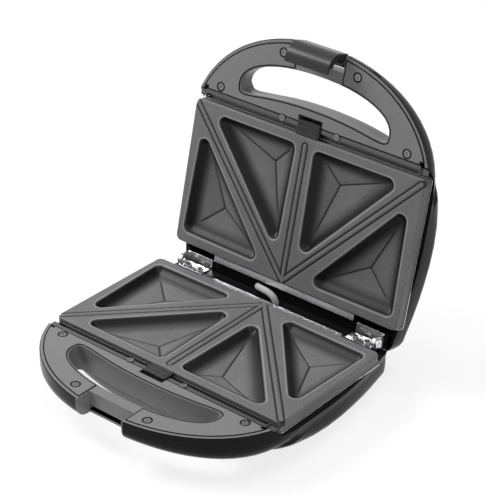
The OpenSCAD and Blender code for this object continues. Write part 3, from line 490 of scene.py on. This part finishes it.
@dataclass
class Workshop:
    """The frame, the palette and the calls that every sub-assembly shares."""

    frame: dict
    palette: Palette = field(default_factory=Palette)
    plate_lap: float = 1.0
    face_gap: float = 0.16
    crease: float = 32.0
    weld_reach: float = 0.000002
    flat_weight: int = 60

    def __post_init__(self) -> None:
        """Works out where both halves lie from the frame's own boxes and its lid joint."""
        joint = next(j for j in self.frame["joints"] if j["name"] == "lid_hinge")
        low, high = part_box("lower_cooking_plate")
        back = -(low.y / MM + self.plate_lap)
        parting = high.z / MM + self.face_gap
        hinge_back = joint["pos_m"][1] / MM + back
        drop = parting - joint["pos_m"][2] / MM
        angle = math.radians(joint["range_deg"][1])
        self.base = Half(False, back, parting, hinge_back, drop, angle)
        self.lid = Half(True, back, parting, hinge_back, drop, angle)

    @property
    def halves(self) -> tuple[Half, Half]:
        """The base and the lid."""
        return self.base, self.lid

    def paint(self, node: str, finish: Coat) -> bpy.types.Object:
        """Gives a CAD node its finish and smooth shading between real edges.

        Args:
            node: The CAD node's name.
            finish: What covers it.

        Returns:
            The node's object.
        """
        obj = self.frame["nodes"][node]
        obj.data.materials.clear()
        obj.data.materials.append(self.palette.get(finish))
        self.smooth(obj)
        LOG.info("dressed %s in %s", node, finish.name)
        return obj

    def smooth(self, obj: bpy.types.Object) -> None:
        """Shades an object smoothly, apart from edges sharper than the crease.

        Args:
            obj: The object.
        """
        if "custom_normal" in obj.data.attributes:
            obj.data.attributes.remove(obj.data.attributes["custom_normal"])
        obj.data.polygons.foreach_set("use_smooth", [True] * len(obj.data.polygons))
        weld = obj.modifiers.new("weld", "WELD")
        weld.merge_threshold = self.weld_reach
        split = obj.modifiers.new("edges", "EDGE_SPLIT")
        split.use_edge_angle, split.use_edge_sharp = True, False
        split.split_angle = math.radians(self.crease)
        weighted = obj.modifiers.new("flats", "WEIGHTED_NORMAL")
        weighted.mode, weighted.weight, weighted.keep_sharp = "FACE_AREA", self.flat_weight, True

    def second(self, node: str, finish: Finish, chosen: Iterable[int]) -> None:
        """Covers some faces of a CAD node with another finish.

        Args:
            node: The CAD node's name.
            finish: The other finish.
            chosen: The faces' indices.
        """
        mesh = self.frame["nodes"][node].data
        mesh.materials.append(self.palette.get(finish))
        index = len(mesh.materials) - 1
        for i in chosen:
            mesh.polygons[i].material_index = index

    def mesh(
        self, name: str, points: np.ndarray, faces: Sequence, half: Half, finish: Coat,
    ) -> bpy.types.Object:
        """Makes a new piece in a half and lets it ride there.

        Args:
            name: The piece's name.
            points: Rows of x, y and z in the half's millimetres.
            faces: Point indices of each face.
            half: The half that carries it.
            finish: What covers it.

        Returns:
            The new object.
        """
        data = bpy.data.meshes.new(name)
        data.from_pydata(half.place(points).tolist(), [], [list(map(int, f)) for f in faces])
        data.update()
        work = bmesh.new()
        work.from_mesh(data)
        bmesh.ops.recalc_face_normals(work, faces=work.faces)
        work.to_mesh(data)
        work.free()
        obj = bpy.data.objects.new(name, data)
        bpy.context.scene.collection.objects.link(obj)
        data.materials.append(self.palette.get(finish))
        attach(obj, half.body)
        LOG.info("built %s, %d faces", name, len(faces))
        return obj


# ---------------------------------------------------------------- cooking plates


@dataclass
class CookingPlate:
    """A pressed plate with four triangular pockets, their creases and the sealing ribs between them."""

    shop: Workshop
    half: Half
    node: str
    half_width: float = 112.0
    front: float = -1.0
    rear: float = 123.0
    corner: float = 5.0
    face: float = 0.38
    foot: float = 8.98
    sheet: float = 1.5
    edge_round: float = 1.1
    step: float = 0.62
    rib_height: float = 0.2
    rib_width: float = 3.2
    groove_half: float = 0.95
    groove_depth: float = 0.6
    pocket_depth: float = 10.4
    rim_depth: float = 7.2
    pocket_corner: float = 6.0
    lip: float = 1.5
    lip_round: float = 1.6
    wall_run: float = 12.0
    wall_power: float = 2.1
    wall_shade: float = 0.97
    shade_reach: float = 14.0
    shade_out: float = 0.2
    shade_in: float = 0.9
    crease_width: float = 1.25
    crease_depth: float = 0.7
    crease_end: float = 0.74
    crease_taper: float = 0.2
    crease_thin: float = 0.45
    crease_swell: float = 0.25
    facet_inset: float = 6.4
    lip_fade: float = 4.0
    # Strength, place and width of the painted highlight along the pocket lips.
    lip_highlight: float = 0.8
    lip_highlight_in: float = 0.55
    lip_highlight_half: float = 0.75
    rib_front: float = 6.5
    rib_rear: float = 2.0
    rib_tip: float = 3.0
    rib_slope: float = 0.6
    groove_in: float = 0.9
    corner_steps: int = 12
    near_side: float = 22.0
    near_front: float = 8.0
    near_middle: float = 10.0
    near_tip: tuple[float, float] = (12.0, 27.0)
    near_deepest: tuple[float, float] = (32.0, 30.5)
    far_front: tuple[float, float] = (11.0, 24.5)
    far_tip: tuple[float, float] = (25.5, 9.5)
    far_rear: tuple[float, float] = (7.5, 10.5)
    far_deepest: tuple[float, float] = (38.5, 38.0)

    def pockets(self) -> list[tuple[np.ndarray, np.ndarray]]:
        """Corners and deepest point of each pocket.

        Returns:
            Pairs of three corners and a middle.
        """
        side, rear = -self.half_width, self.rear
        near = np.array([
            [side + self.near_side, self.near_front],
            [-self.near_middle, self.near_front],
            [-self.near_tip[0], rear - self.near_tip[1]],
        ])
        far = np.array([
            [side + self.far_front[0], self.far_front[1]],
            [-self.far_tip[0], rear - self.far_tip[1]],
            [side + self.far_rear[0], rear - self.far_rear[1]],
        ])
        near_middle = np.array([-self.near_deepest[0], self.near_deepest[1]])
        far_middle = np.array([side + self.far_deepest[0], rear - self.far_deepest[1]])
        pairs = [(near, near_middle), (far, far_middle)]
        flip = np.array([-1.0, 1.0])
        return pairs + [(c * flip, m * flip) for c, m in pairs]

    @staticmethod
    def inside(points: np.ndarray, corners: np.ndarray, inset: float) -> tuple[np.ndarray, np.ndarray]:
        """Distances to a triangle's sides, moved inwards.

        Args:
            points: Rows of x and y.
            corners: The triangle's three corners.
            inset: How far the sides are moved in.

        Returns:
            The distance in from each side, and the signed distance to the whole triangle.
        """
        centre = corners.mean(axis=0)
        sides, ends = [], []
        for k in range(3):
            a, b = corners[k], corners[(k + 1) % 3]
            run = (b - a) / np.linalg.norm(b - a)
            normal = np.array([-run[1], run[0]])
            if np.dot(centre - a, normal) < 0:
                normal = -normal
            sides.append((points - a) @ normal - inset)
            ends.append((a, run, normal))
        d = np.stack(sides)
        shrunk = []
        for k in range(3):
            a, _, normal = ends[k]
            b, _, normal2 = ends[(k + 2) % 3]
            reach = [normal @ a + inset, normal2 @ b + inset]
            shrunk.append(np.linalg.solve(np.stack([normal, normal2]), reach))
        out = np.full(len(points), 1e9)
        for k in range(3):
            a, b = shrunk[k], shrunk[(k + 1) % 3]
            run = b - a
            t = np.clip(((points - a) @ run) / (run @ run), 0, 1)
            out = np.minimum(out, np.linalg.norm(points - a - t[:, None] * run, axis=1))
        inner = d.min(axis=0)
        return d, np.where(inner > 0, inner, -out)

    @staticmethod
    def line_distance(points: np.ndarray, a: np.ndarray, b: np.ndarray) -> tuple[np.ndarray, np.ndarray]:
        """Distance to a straight line and the share of the way along it.

        Args:
            points: Rows of x and y.
            a: The line's start.
            b: The line's end.

        Returns:
            Distances, and shares from 0 to 1 along the line.
        """
        run = b - a
        t = np.clip(((points - a) @ run) / (run @ run), 0, 1)
        return np.linalg.norm(points - a - t[:, None] * run, axis=1), t

    def wall(self, d: np.ndarray) -> np.ndarray:
        """Depth of a pocket's side, a bowl that is steepest at a rounded lip.

        Args:
            d: Distances in from the pocket's mouth.

        Returns:
            Depths below the plate's face.
        """
        u = np.clip(d / self.wall_run, 0, 1)
        bowl = 1 - (1 - u) ** self.wall_power
        return self.rim_depth * bowl * self.smooth_step(d, 0, self.lip_round)

    @staticmethod
    def smooth_step(value: np.ndarray, low: float, high: float) -> np.ndarray:
        """Rises softly from 0 at low to 1 at high."""
        u = np.clip((value - low) / (high - low), 0, 1)
        return u * u * (3 - 2 * u)

    def relief(self, points: np.ndarray) -> tuple[np.ndarray, np.ndarray, np.ndarray]:
        """Depth below the plate's face, and the painted shade and painted highlight on the coating at each
        point.

        Args:
            points: Rows of x and y.

        Returns:
            Depths, painted shade shares and painted highlight shares.
        """
        depth = np.zeros(len(points))
        pressed = np.zeros(len(points))
        painted_highlight = np.zeros(len(points))
        for corners, middle in self.pockets():
            r = self.pocket_corner
            _, signed = self.inside(points, corners, r - self.lip)
            d = signed + r
            sides, _ = self.inside(points, corners, self.facet_inset)
            centre_sides, _ = self.inside(middle[None, :], corners, self.facet_inset)
            slope = np.clip(sides / centre_sides, 0, 1).min(axis=0)
            drop = self.pocket_depth - self.rim_depth
            depth = np.maximum(depth, np.where(d > 0, self.wall(d) + drop * slope, 0))
            # Painted shade on each pocket wall, darkest just inside the mouth and fading out towards the
            # facets.
            fading = 1 - self.smooth_step(d, self.lip_fade, self.shade_reach)
            rising = self.smooth_step(d, -self.shade_out, self.shade_in)
            pressed = np.maximum(pressed, self.wall_shade * rising * fading)
            # Painted highlight: a thin light line along each pocket's mouth.
            glint = np.clip(1 - ((d + self.lip_highlight_in) / self.lip_highlight_half) ** 2, 0, 1)
            painted_highlight = np.maximum(painted_highlight, self.lip_highlight * glint)
            for corner in corners:
                end = middle + (corner - middle) * self.crease_end
                away, share = self.line_distance(points, middle, end)
                fade = np.clip((1 - share) / self.crease_taper, 0, 1)
                half = self.crease_width * (self.crease_thin + self.crease_swell * fade)
                groove = np.clip(1 - (away / half) ** 2, 0, 1) * fade ** 0.5
                # The crease's strength also paints shade into it.
                pressed = np.maximum(pressed, groove)
        depth = depth + self.crease_depth * pressed
        rise, lines = self.ribs(points)
        # The rib grooves get painted shade as well.
        pressed = np.maximum(pressed, lines)
        return depth - rise + self.groove_depth * lines, pressed, painted_highlight

    def ribs(self, points: np.ndarray) -> tuple[np.ndarray, np.ndarray]:
        """Height of the sealing ribs, and the pressed lines along both of their sides, which are grooves with
        painted shade in them.

        Args:
            points: Rows of x and y.

        Returns:
            Rib heights and line strengths.
        """
        foot = np.array([0.0, self.rear - self.rib_rear])
        runs = [(np.array([0.0, self.rib_front]), foot)]
        for side in (-1, 1):
            tip = np.array([side * (self.half_width - self.rib_tip), self.rib_tip])
            runs.append((foot, tip))
        rise = np.zeros(len(points))
        lines = np.zeros(len(points))
        half = self.rib_width / 2
        for a, b in runs:
            away, _ = self.line_distance(points, a, b)
            rise = np.maximum(rise, self.rib_height * np.clip((half - away) / self.rib_slope, 0, 1))
            # Grooves beside each rib; their strength is also used as painted shade.
            off = (away - half - self.groove_in) / self.groove_half
            lines = np.maximum(lines, np.clip(1 - off ** 2, 0, 1) ** 0.7)
        on_rib = np.clip(rise / self.rib_height, 0, 1)
        return rise, lines * (1 - on_rib)

    def samples(self, low: float, high: float) -> np.ndarray:
        """Places of grid lines, closer together near both ends.

        Args:
            low: First place.
            high: Last place.

        Returns:
            Sorted places.
        """
        near = self.corner * (1 - np.cos(np.linspace(0, math.pi / 2, self.corner_steps)))
        middle = np.linspace(low + self.corner, high - self.corner, round((high - low) / self.step))
        return np.unique(np.concatenate([low + near, middle, high - near]).round(4))

    def build(self) -> None:
        """Makes the plate as one sheet with a skirt, and lets it stand for the CAD plate."""
        ys = self.samples(self.front, self.rear)
        xs = self.samples(-self.half_width, self.half_width) / self.half_width
        reach = np.minimum(np.minimum(ys - self.front, self.rear - ys), self.corner)
        turned = np.sqrt(np.maximum(0, self.corner ** 2 - (self.corner - reach) ** 2))
        widths = self.half_width - self.corner + turned
        across, along = np.outer(widths, xs), np.repeat(ys[:, None], len(xs), axis=1)
        grid = np.stack([across, along], axis=-1).reshape(-1, 2)
        depth, pressed, painted_highlight = self.relief(grid)
        edge = self.edge_distance(grid)
        bent = np.clip(self.edge_round - edge, 0, self.edge_round)
        depth = depth + self.edge_round - np.sqrt(np.maximum(0, self.edge_round ** 2 - bent ** 2))
        top = np.column_stack([grid, self.face + depth])
        rows, columns = len(ys), len(xs)
        index = np.arange(rows * columns).reshape(rows, columns)
        around = [index[:-1, :-1], index[:-1, 1:], index[1:, 1:], index[1:, :-1]]
        quads = np.stack(around, axis=-1).reshape(-1, 4)
        ring = np.concatenate([index[0, :], index[1:, -1], index[-1, -2::-1], index[-2:0:-1, 0]])
        foot = top[ring].copy()
        foot[:, 2] = self.foot
        low = np.arange(len(ring)) + len(top)
        skirt = np.stack([ring, low, np.roll(low, -1), np.roll(ring, -1)], axis=-1)
        points = np.concatenate([top, foot])
        faces = np.concatenate([quads, skirt])
        piece = self.shop.mesh(self.half.body + "_plate_pressing", points, faces, self.half, COATING)
        # The painted shade and painted highlight shares ride on the plate's points for the coating.
        for label, share in (("pressed", pressed), ("painted_highlight", painted_highlight)):
            mark = piece.data.attributes.new(label, "FLOAT", "POINT")
            mark.data.foreach_set("value", np.concatenate([share, np.zeros(len(ring))]).astype(np.float32))
        piece.data.polygons.foreach_set("use_smooth", [True] * len(piece.data.polygons))
        thick = piece.modifiers.new("sheet", "SOLIDIFY")
        thick.thickness, thick.offset, thick.use_even_offset = self.sheet * MM, -1.0, False
        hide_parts(self.node)

    def edge_distance(self, points: np.ndarray) -> np.ndarray:
        """Distance in from the plate's rounded outline.

        Args:
            points: Rows of x and y.

        Returns:
            Distances.
        """
        middle = np.array([0.0, (self.front + self.rear) / 2])
        size = np.array([self.half_width, (self.rear - self.front) / 2]) - self.corner
        q = np.abs(points - middle) - size
        outside = np.linalg.norm(np.maximum(q, 0), axis=1)
        return self.corner - outside - np.minimum(q.max(axis=1), 0)


# ---------------------------------------------------------------- shells, covers and small parts


@dataclass
class HalfShell:
    """The housing of one half with the plate that covers its handle."""

    shop: Workshop
    half: Half
    rim_depth: float = 2.6
    cover_top: float = 1.84
    bead_in: float = 0.5
    bead_out: float = 0.45
    bead_top: float = 1.8
    bead_foot: float = 2.5
    flat_tolerance: float = 0.05
    shortest_step: float = 0.02
    least_points: int = 5
    least_miter: float = 0.5
    facing: float = 0.85
    face_rear: float = -2.0
    well_half: float = 75.0
    well_front: float = -62.0
    well_middle: float = -38.0
    well_rear: float = -14.0
    notch_half: float = 23.0
    notch_rear: float = -58.5
    upright: float = 0.75

    def dress(self) -> None:
        """Black outside, grey where the shell faces the other half round the cover."""
        name = self.half.body
        shell = self.shop.paint(name + "_housing", SHELL)
        self.shop.second(name + "_housing", FACE, self.faces_up(shell))
        self.shop.second(name + "_housing", WELL, self.well(shell))
        self.seams(self.shop.paint(name + "_handle_cover", FACE))

    def edge_loops(self, obj: bpy.types.Object, level: float) -> list[np.ndarray]:
        """Closed outlines of the flat face that lies highest on a CAD node.

        Args:
            obj: The node to read.
            level: Depth of the flat face in the half.

        Returns:
            One array of x and y for each outline, in order.
        """
        spots = np.empty(len(obj.data.vertices) * 3)
        obj.data.vertices.foreach_get("co", spots)
        spots = self.half.local(spots.reshape(-1, 3))
        keys = [tuple(row) for row in spots[:, :2].round(2)]
        flat = np.abs(spots[:, 2] - level) < self.flat_tolerance
        used: dict[tuple, int] = {}
        for polygon in obj.data.polygons:
            around = list(polygon.vertices)
            if not flat[around].all():
                continue
            for a, b in zip(around, around[1:] + around[:1]):
                edge = (keys[a], keys[b])
                back = (keys[b], keys[a])
                if back in used:
                    del used[back]
                else:
                    used[edge] = 1
        onward = dict(used.keys())
        loops = []
        while onward:
            start, spot = onward.popitem()
            loop = [start]
            while spot != start and spot in onward:
                loop.append(spot)
                spot = onward.pop(spot)
            if len(loop) > self.least_points:
                loops.append(np.array(loop))
        return loops

    def seams(self, obj: bpy.types.Object) -> None:
        """Lays a dark bead of painted shadow in the gap round the cover plate and round each opening in it.

        Args:
            obj: The cover plate.
        """
        loops = self.edge_loops(obj, self.cover_top)
        for count, loop in enumerate(sorted(loops, key=lambda points: points[:, 0].min())):
            self.bead(f"{self.half.body}_seam_{count}", loop)

    def bead(self, name: str, loop: np.ndarray) -> None:
        """A flat closed bead that follows an outline.

        Args:
            name: The piece's name.
            loop: Rows of x and y, in order.
        """
        keep = np.linalg.norm(loop - np.roll(loop, 1, axis=0), axis=1) > self.shortest_step
        loop = loop[keep]
        ahead = np.roll(loop, -1, axis=0) - loop
        ahead /= np.linalg.norm(ahead, axis=1)[:, None]
        behind = np.roll(ahead, 1, axis=0)
        normal = np.stack([-ahead[:, 1] - behind[:, 1], ahead[:, 0] + behind[:, 0]], axis=1)
        normal /= np.linalg.norm(normal, axis=1)[:, None]
        lean = normal[:, 1] * ahead[:, 0] - normal[:, 0] * ahead[:, 1]
        miter = np.clip(lean, self.least_miter, 1)[:, None]
        sides = [(self.bead_in, self.bead_top), (-self.bead_out, self.bead_top),
                 (-self.bead_out, self.bead_foot), (self.bead_in, self.bead_foot)]
        n = len(loop)
        rows = [np.column_stack([loop + normal * reach / miter, np.full(n, z)]) for reach, z in sides]
        faces = []
        for k in range(len(sides)):
            a, b = k * n, ((k + 1) % len(sides)) * n
            faces += [(a + i, a + (i + 1) % n, b + (i + 1) % n, b + i) for i in range(n)]
        self.shop.mesh(name, np.concatenate(rows), faces, self.half, SEAM)

    def faces_up(self, obj: bpy.types.Object) -> list[int]:
        """Faces that look at the other half near the parting plane.

        Args:
            obj: The object to read.

        Returns:
            The faces' indices.
        """
        centres, normals = self.faces(obj)
        shallow = (centres[:, 2] < self.rim_depth) & (centres[:, 1] < self.face_rear)
        return np.nonzero((-normals[:, 2] > self.facing) & shallow)[0].tolist()

    def well(self, obj: bpy.types.Object) -> list[int]:
        """Faces of the wall round the finger opening and of the latch notch.

        Args:
            obj: The object to read.

        Returns:
            The faces' indices.
        """
        centres, normals = self.faces(obj)
        x, y = np.abs(centres[:, 0]), centres[:, 1]
        upright = np.abs(normals[:, 2]) < self.upright
        opening = (x < self.well_half) & (y < self.well_rear) & (y > self.well_front) & upright
        inwards = normals[:, 0] * centres[:, 0] + normals[:, 1] * (y - self.well_middle) < 0
        notch = (x < self.notch_half) & (y < self.notch_rear)
        return np.nonzero((opening & inwards) | notch)[0].tolist()

    def faces(self, obj: bpy.types.Object) -> tuple[np.ndarray, np.ndarray]:
        """Centres and normals of an object's faces in the half's own axes.

        Args:
            obj: The object to read.

        Returns:
            Centres in millimetres and unit normals.
        """
        count = len(obj.data.polygons)
        centres, normals = np.empty(count * 3), np.empty(count * 3)
        obj.data.polygons.foreach_get("center", centres)
        obj.data.polygons.foreach_get("normal", normals)
        centres, normals = centres.reshape(-1, 3), normals.reshape(-1, 3)
        start, end = self.half.local(centres), self.half.local(centres + normals * MM)
        return start, end - start


@dataclass
class TrayAndStrip:
    """The steel tray under a plate, with the channel strip along its front."""

    shop: Workshop
    half: Half
    strip_rear: float = -1.5

    def dress(self) -> None:
        """Bright tray, darker strip."""
        name = self.half.body + "_tray"
        tray = self.shop.paint(name, TRAY)
        count = len(tray.data.polygons)
        centres = np.empty(count * 3)
        tray.data.polygons.foreach_get("center", centres)
        own = self.half.local(centres.reshape(-1, 3))
        self.shop.second(name, STRIP, np.nonzero(own[:, 1] < self.strip_rear)[0].tolist())


@dataclass
class SmallParts:
    """Everything that only needs its finish."""

    shop: Workshop

    def plan(self) -> dict[str, Finish | LampGlass]:
        """Lists the finish of each small CAD node.

        Returns:
            Finishes by node name.
        """
        both = {
            "heating_element": ELEMENT, "cover_screws": SCREW, "strip_screws": SCREW, "bracket_screws": SCREW,
            "hinge_bracket_left": HINGE, "hinge_bracket_right": HINGE, "release_latch": LATCH,
            "release_spring": SPRING,
        }
        single = {
            "hinge_pin_left": RIVET, "hinge_pin_right": RIVET, "rubber_feet": FOOT, "cord_gland": GLAND,
            "terminal_block": CERAMIC, "thermostat": CERAMIC, "thermal_fuse": CERAMIC, "link_sleeve": SLEEVE,
            "latch_pin": RIVET, "latch_clip": LATCH, "power_lens": RED_LENS, "ready_lens": GREEN_LENS,
            "lamp_board": BOARD,
        }
        doubled = {f"{half}_{name}": finish for name, finish in both.items() for half in ("base", "lid")}
        return {**doubled, **single}

    def dress(self) -> None:
        """Paints every small node."""
        for node, finish in self.plan().items():
            self.shop.paint(node, finish)


# ---------------------------------------------------------------- studio


@dataclass(frozen=True)
class Lamp:
    """A soft lamp: where it hangs and how wide and high its face is, in metres, and its power in watts."""

    name: str
    place: tuple[float, float, float]
    size: tuple[float, float]
    watts: float


@dataclass
class Studio:
    """Floor, backdrop, lamps and camera."""

    azimuth: float = 38.035
    elevation: float = 29.461
    roll: float = 1.765
    place: tuple[float, float, float] = (0.7487, -0.9317, 0.7882)
    lens: float = 130.32
    sensor: float = 36.0
    fill: float = 0.25
    floor_half: float = 6.0
    floor_drop: float = 0.0004
    floor_glow: float = 0.8
    aim: tuple[float, float, float] = (0.0, 0.03, 0.08)
    lamps: tuple[Lamp, ...] = (
        Lamp("key", (-1.1, -0.35, 1.1), (0.9, 0.6), 28.0),
        Lamp("top", (0.1, 0.3, 1.7), (1.0, 0.8), 14.0),
        Lamp("side", (1.3, -0.4, 0.7), (0.3, 1.0), 5.0),
    )

    def camera(self) -> None:
        """Stands the camera at the viewing angle."""
        a, e, r = (math.radians(v) for v in (self.azimuth, self.elevation, self.roll))
        back = Vector((math.sin(a) * math.cos(e), -math.cos(a) * math.cos(e), math.sin(e)))
        right = Vector((math.cos(a), math.sin(a), 0.0))
        up = back.cross(right)
        turned = right * math.cos(r) + up * math.sin(r)
        upright = up * math.cos(r) - right * math.sin(r)
        data = bpy.data.cameras.new("camera")
        data.lens, data.sensor_width = self.lens, self.sensor
        obj = bpy.data.objects.new("camera", data)
        bpy.context.scene.collection.objects.link(obj)
        turn = Matrix((turned, upright, back)).transposed().to_4x4()
        obj.matrix_world = Matrix.Translation(self.place) @ turn
        bpy.context.scene.camera = obj

    def floor(self) -> None:
        """A pale floor that shows as the white background."""
        data = bpy.data.meshes.new("floor")
        half = self.floor_half
        spots = [(-half, -half), (half, -half), (half, half), (-half, half)]
        data.from_pydata([(x, y, -self.floor_drop) for x, y in spots], [], [(0, 1, 2, 3)])
        obj = bpy.data.objects.new("floor", data)
        bpy.context.scene.collection.objects.link(obj)
        data.materials.append(self.floor_material())

    def floor_material(self) -> bpy.types.Material:
        """Pale matte floor that the camera and reflections see near white.

        Returns:
            The floor's material.
        """
        sheet = NodeSheet("pale_floor")
        place = sheet.add("TexCoord").outputs["Object"]
        cloud = sheet.noise(place, 2.0, 2.0, 0.5)
        tone = sheet.ramp(cloud, [(0.3, (0.93, 0.93, 0.93)), (0.7, (0.95, 0.95, 0.95))])
        matte = sheet.add("BsdfPrincipled", Base_Color=tone, Roughness=0.9, Specular_IOR_Level=0.1)
        glow = sheet.add("Emission", Color=(1.0, 1.0, 1.0, 1.0), Strength=1.0)
        path = sheet.add("LightPath").outputs
        through = sheet.join("MAXIMUM", path["Is Glossy Ray"], path["Is Transmission Ray"])
        looked = sheet.join("MAXIMUM", path["Is Camera Ray"], through)
        blend = sheet.add("MixShader", Fac=sheet.join("MULTIPLY", looked, self.floor_glow))
        sheet.tree.links.new(matte.outputs[0], blend.inputs[1])
        sheet.tree.links.new(glow.outputs[0], blend.inputs[2])
        return sheet.finish(blend)

    def world(self) -> None:
        """Even fill light, and white where the camera or a reflection looks past the floor."""
        world = bpy.data.worlds.new("studio")
        world.use_nodes = True
        tree = world.node_tree
        tree.nodes.clear()
        path = tree.nodes.new("ShaderNodeLightPath")
        seen = tree.nodes.new("ShaderNodeMath")
        seen.operation = "MAXIMUM"
        glossy = tree.nodes.new("ShaderNodeMath")
        glossy.operation = "MAXIMUM"
        tree.links.new(path.outputs["Is Glossy Ray"], glossy.inputs[0])
        tree.links.new(path.outputs["Is Transmission Ray"], glossy.inputs[1])
        tree.links.new(path.outputs["Is Camera Ray"], seen.inputs[0])
        tree.links.new(glossy.outputs[0], seen.inputs[1])
        level = tree.nodes.new("ShaderNodeMapRange")
        level.inputs["To Min"].default_value = self.fill
        level.inputs["To Max"].default_value = 1.0
        tree.links.new(seen.outputs[0], level.inputs["Value"])
        light = tree.nodes.new("ShaderNodeBackground")
        light.inputs["Color"].default_value = (1.0, 1.0, 1.0, 1.0)
        tree.links.new(level.outputs["Result"], light.inputs["Strength"])
        output = tree.nodes.new("ShaderNodeOutputWorld")
        tree.links.new(light.outputs[0], output.inputs["Surface"])
        bpy.context.scene.world = world

    def hang(self, lamp: Lamp) -> None:
        """Hangs one soft lamp aimed at the toaster.

        Args:
            lamp: The lamp.
        """
        data = bpy.data.lights.new(lamp.name, "AREA")
        data.shape, data.size, data.size_y = "RECTANGLE", *lamp.size
        data.energy = lamp.watts
        obj = bpy.data.objects.new(lamp.name, data)
        bpy.context.scene.collection.objects.link(obj)
        obj.location = lamp.place
        obj.rotation_mode = "QUATERNION"
        obj.rotation_quaternion = (Vector(self.aim) - Vector(lamp.place)).to_track_quat("-Z", "Y")

    def build(self) -> None:
        """Sets up the whole studio."""
        self.camera()
        self.floor()
        self.world()
        for lamp in self.lamps:
            self.hang(lamp)
        bpy.context.scene.view_settings.view_transform = "Standard"


def corners(box: tuple[Vector, Vector]) -> list[list[float]]:
    """A box as plain lists."""
    return [list(corner) for corner in box]


def main() -> None:
    """Builds and dresses the toaster and its studio."""
    logging.basicConfig(level=logging.INFO, format="%(name)s: %(message)s")
    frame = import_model()
    shop = Workshop(frame)
    for half in shop.halves:
        HalfShell(shop, half).dress()
        TrayAndStrip(shop, half).dress()
    CookingPlate(shop, shop.base, "lower_cooking_plate").build()
    CookingPlate(shop, shop.lid, "upper_cooking_plate").build()
    SmallParts(shop).dress()
    Studio().build()


if __name__ == "__main__":
    main()
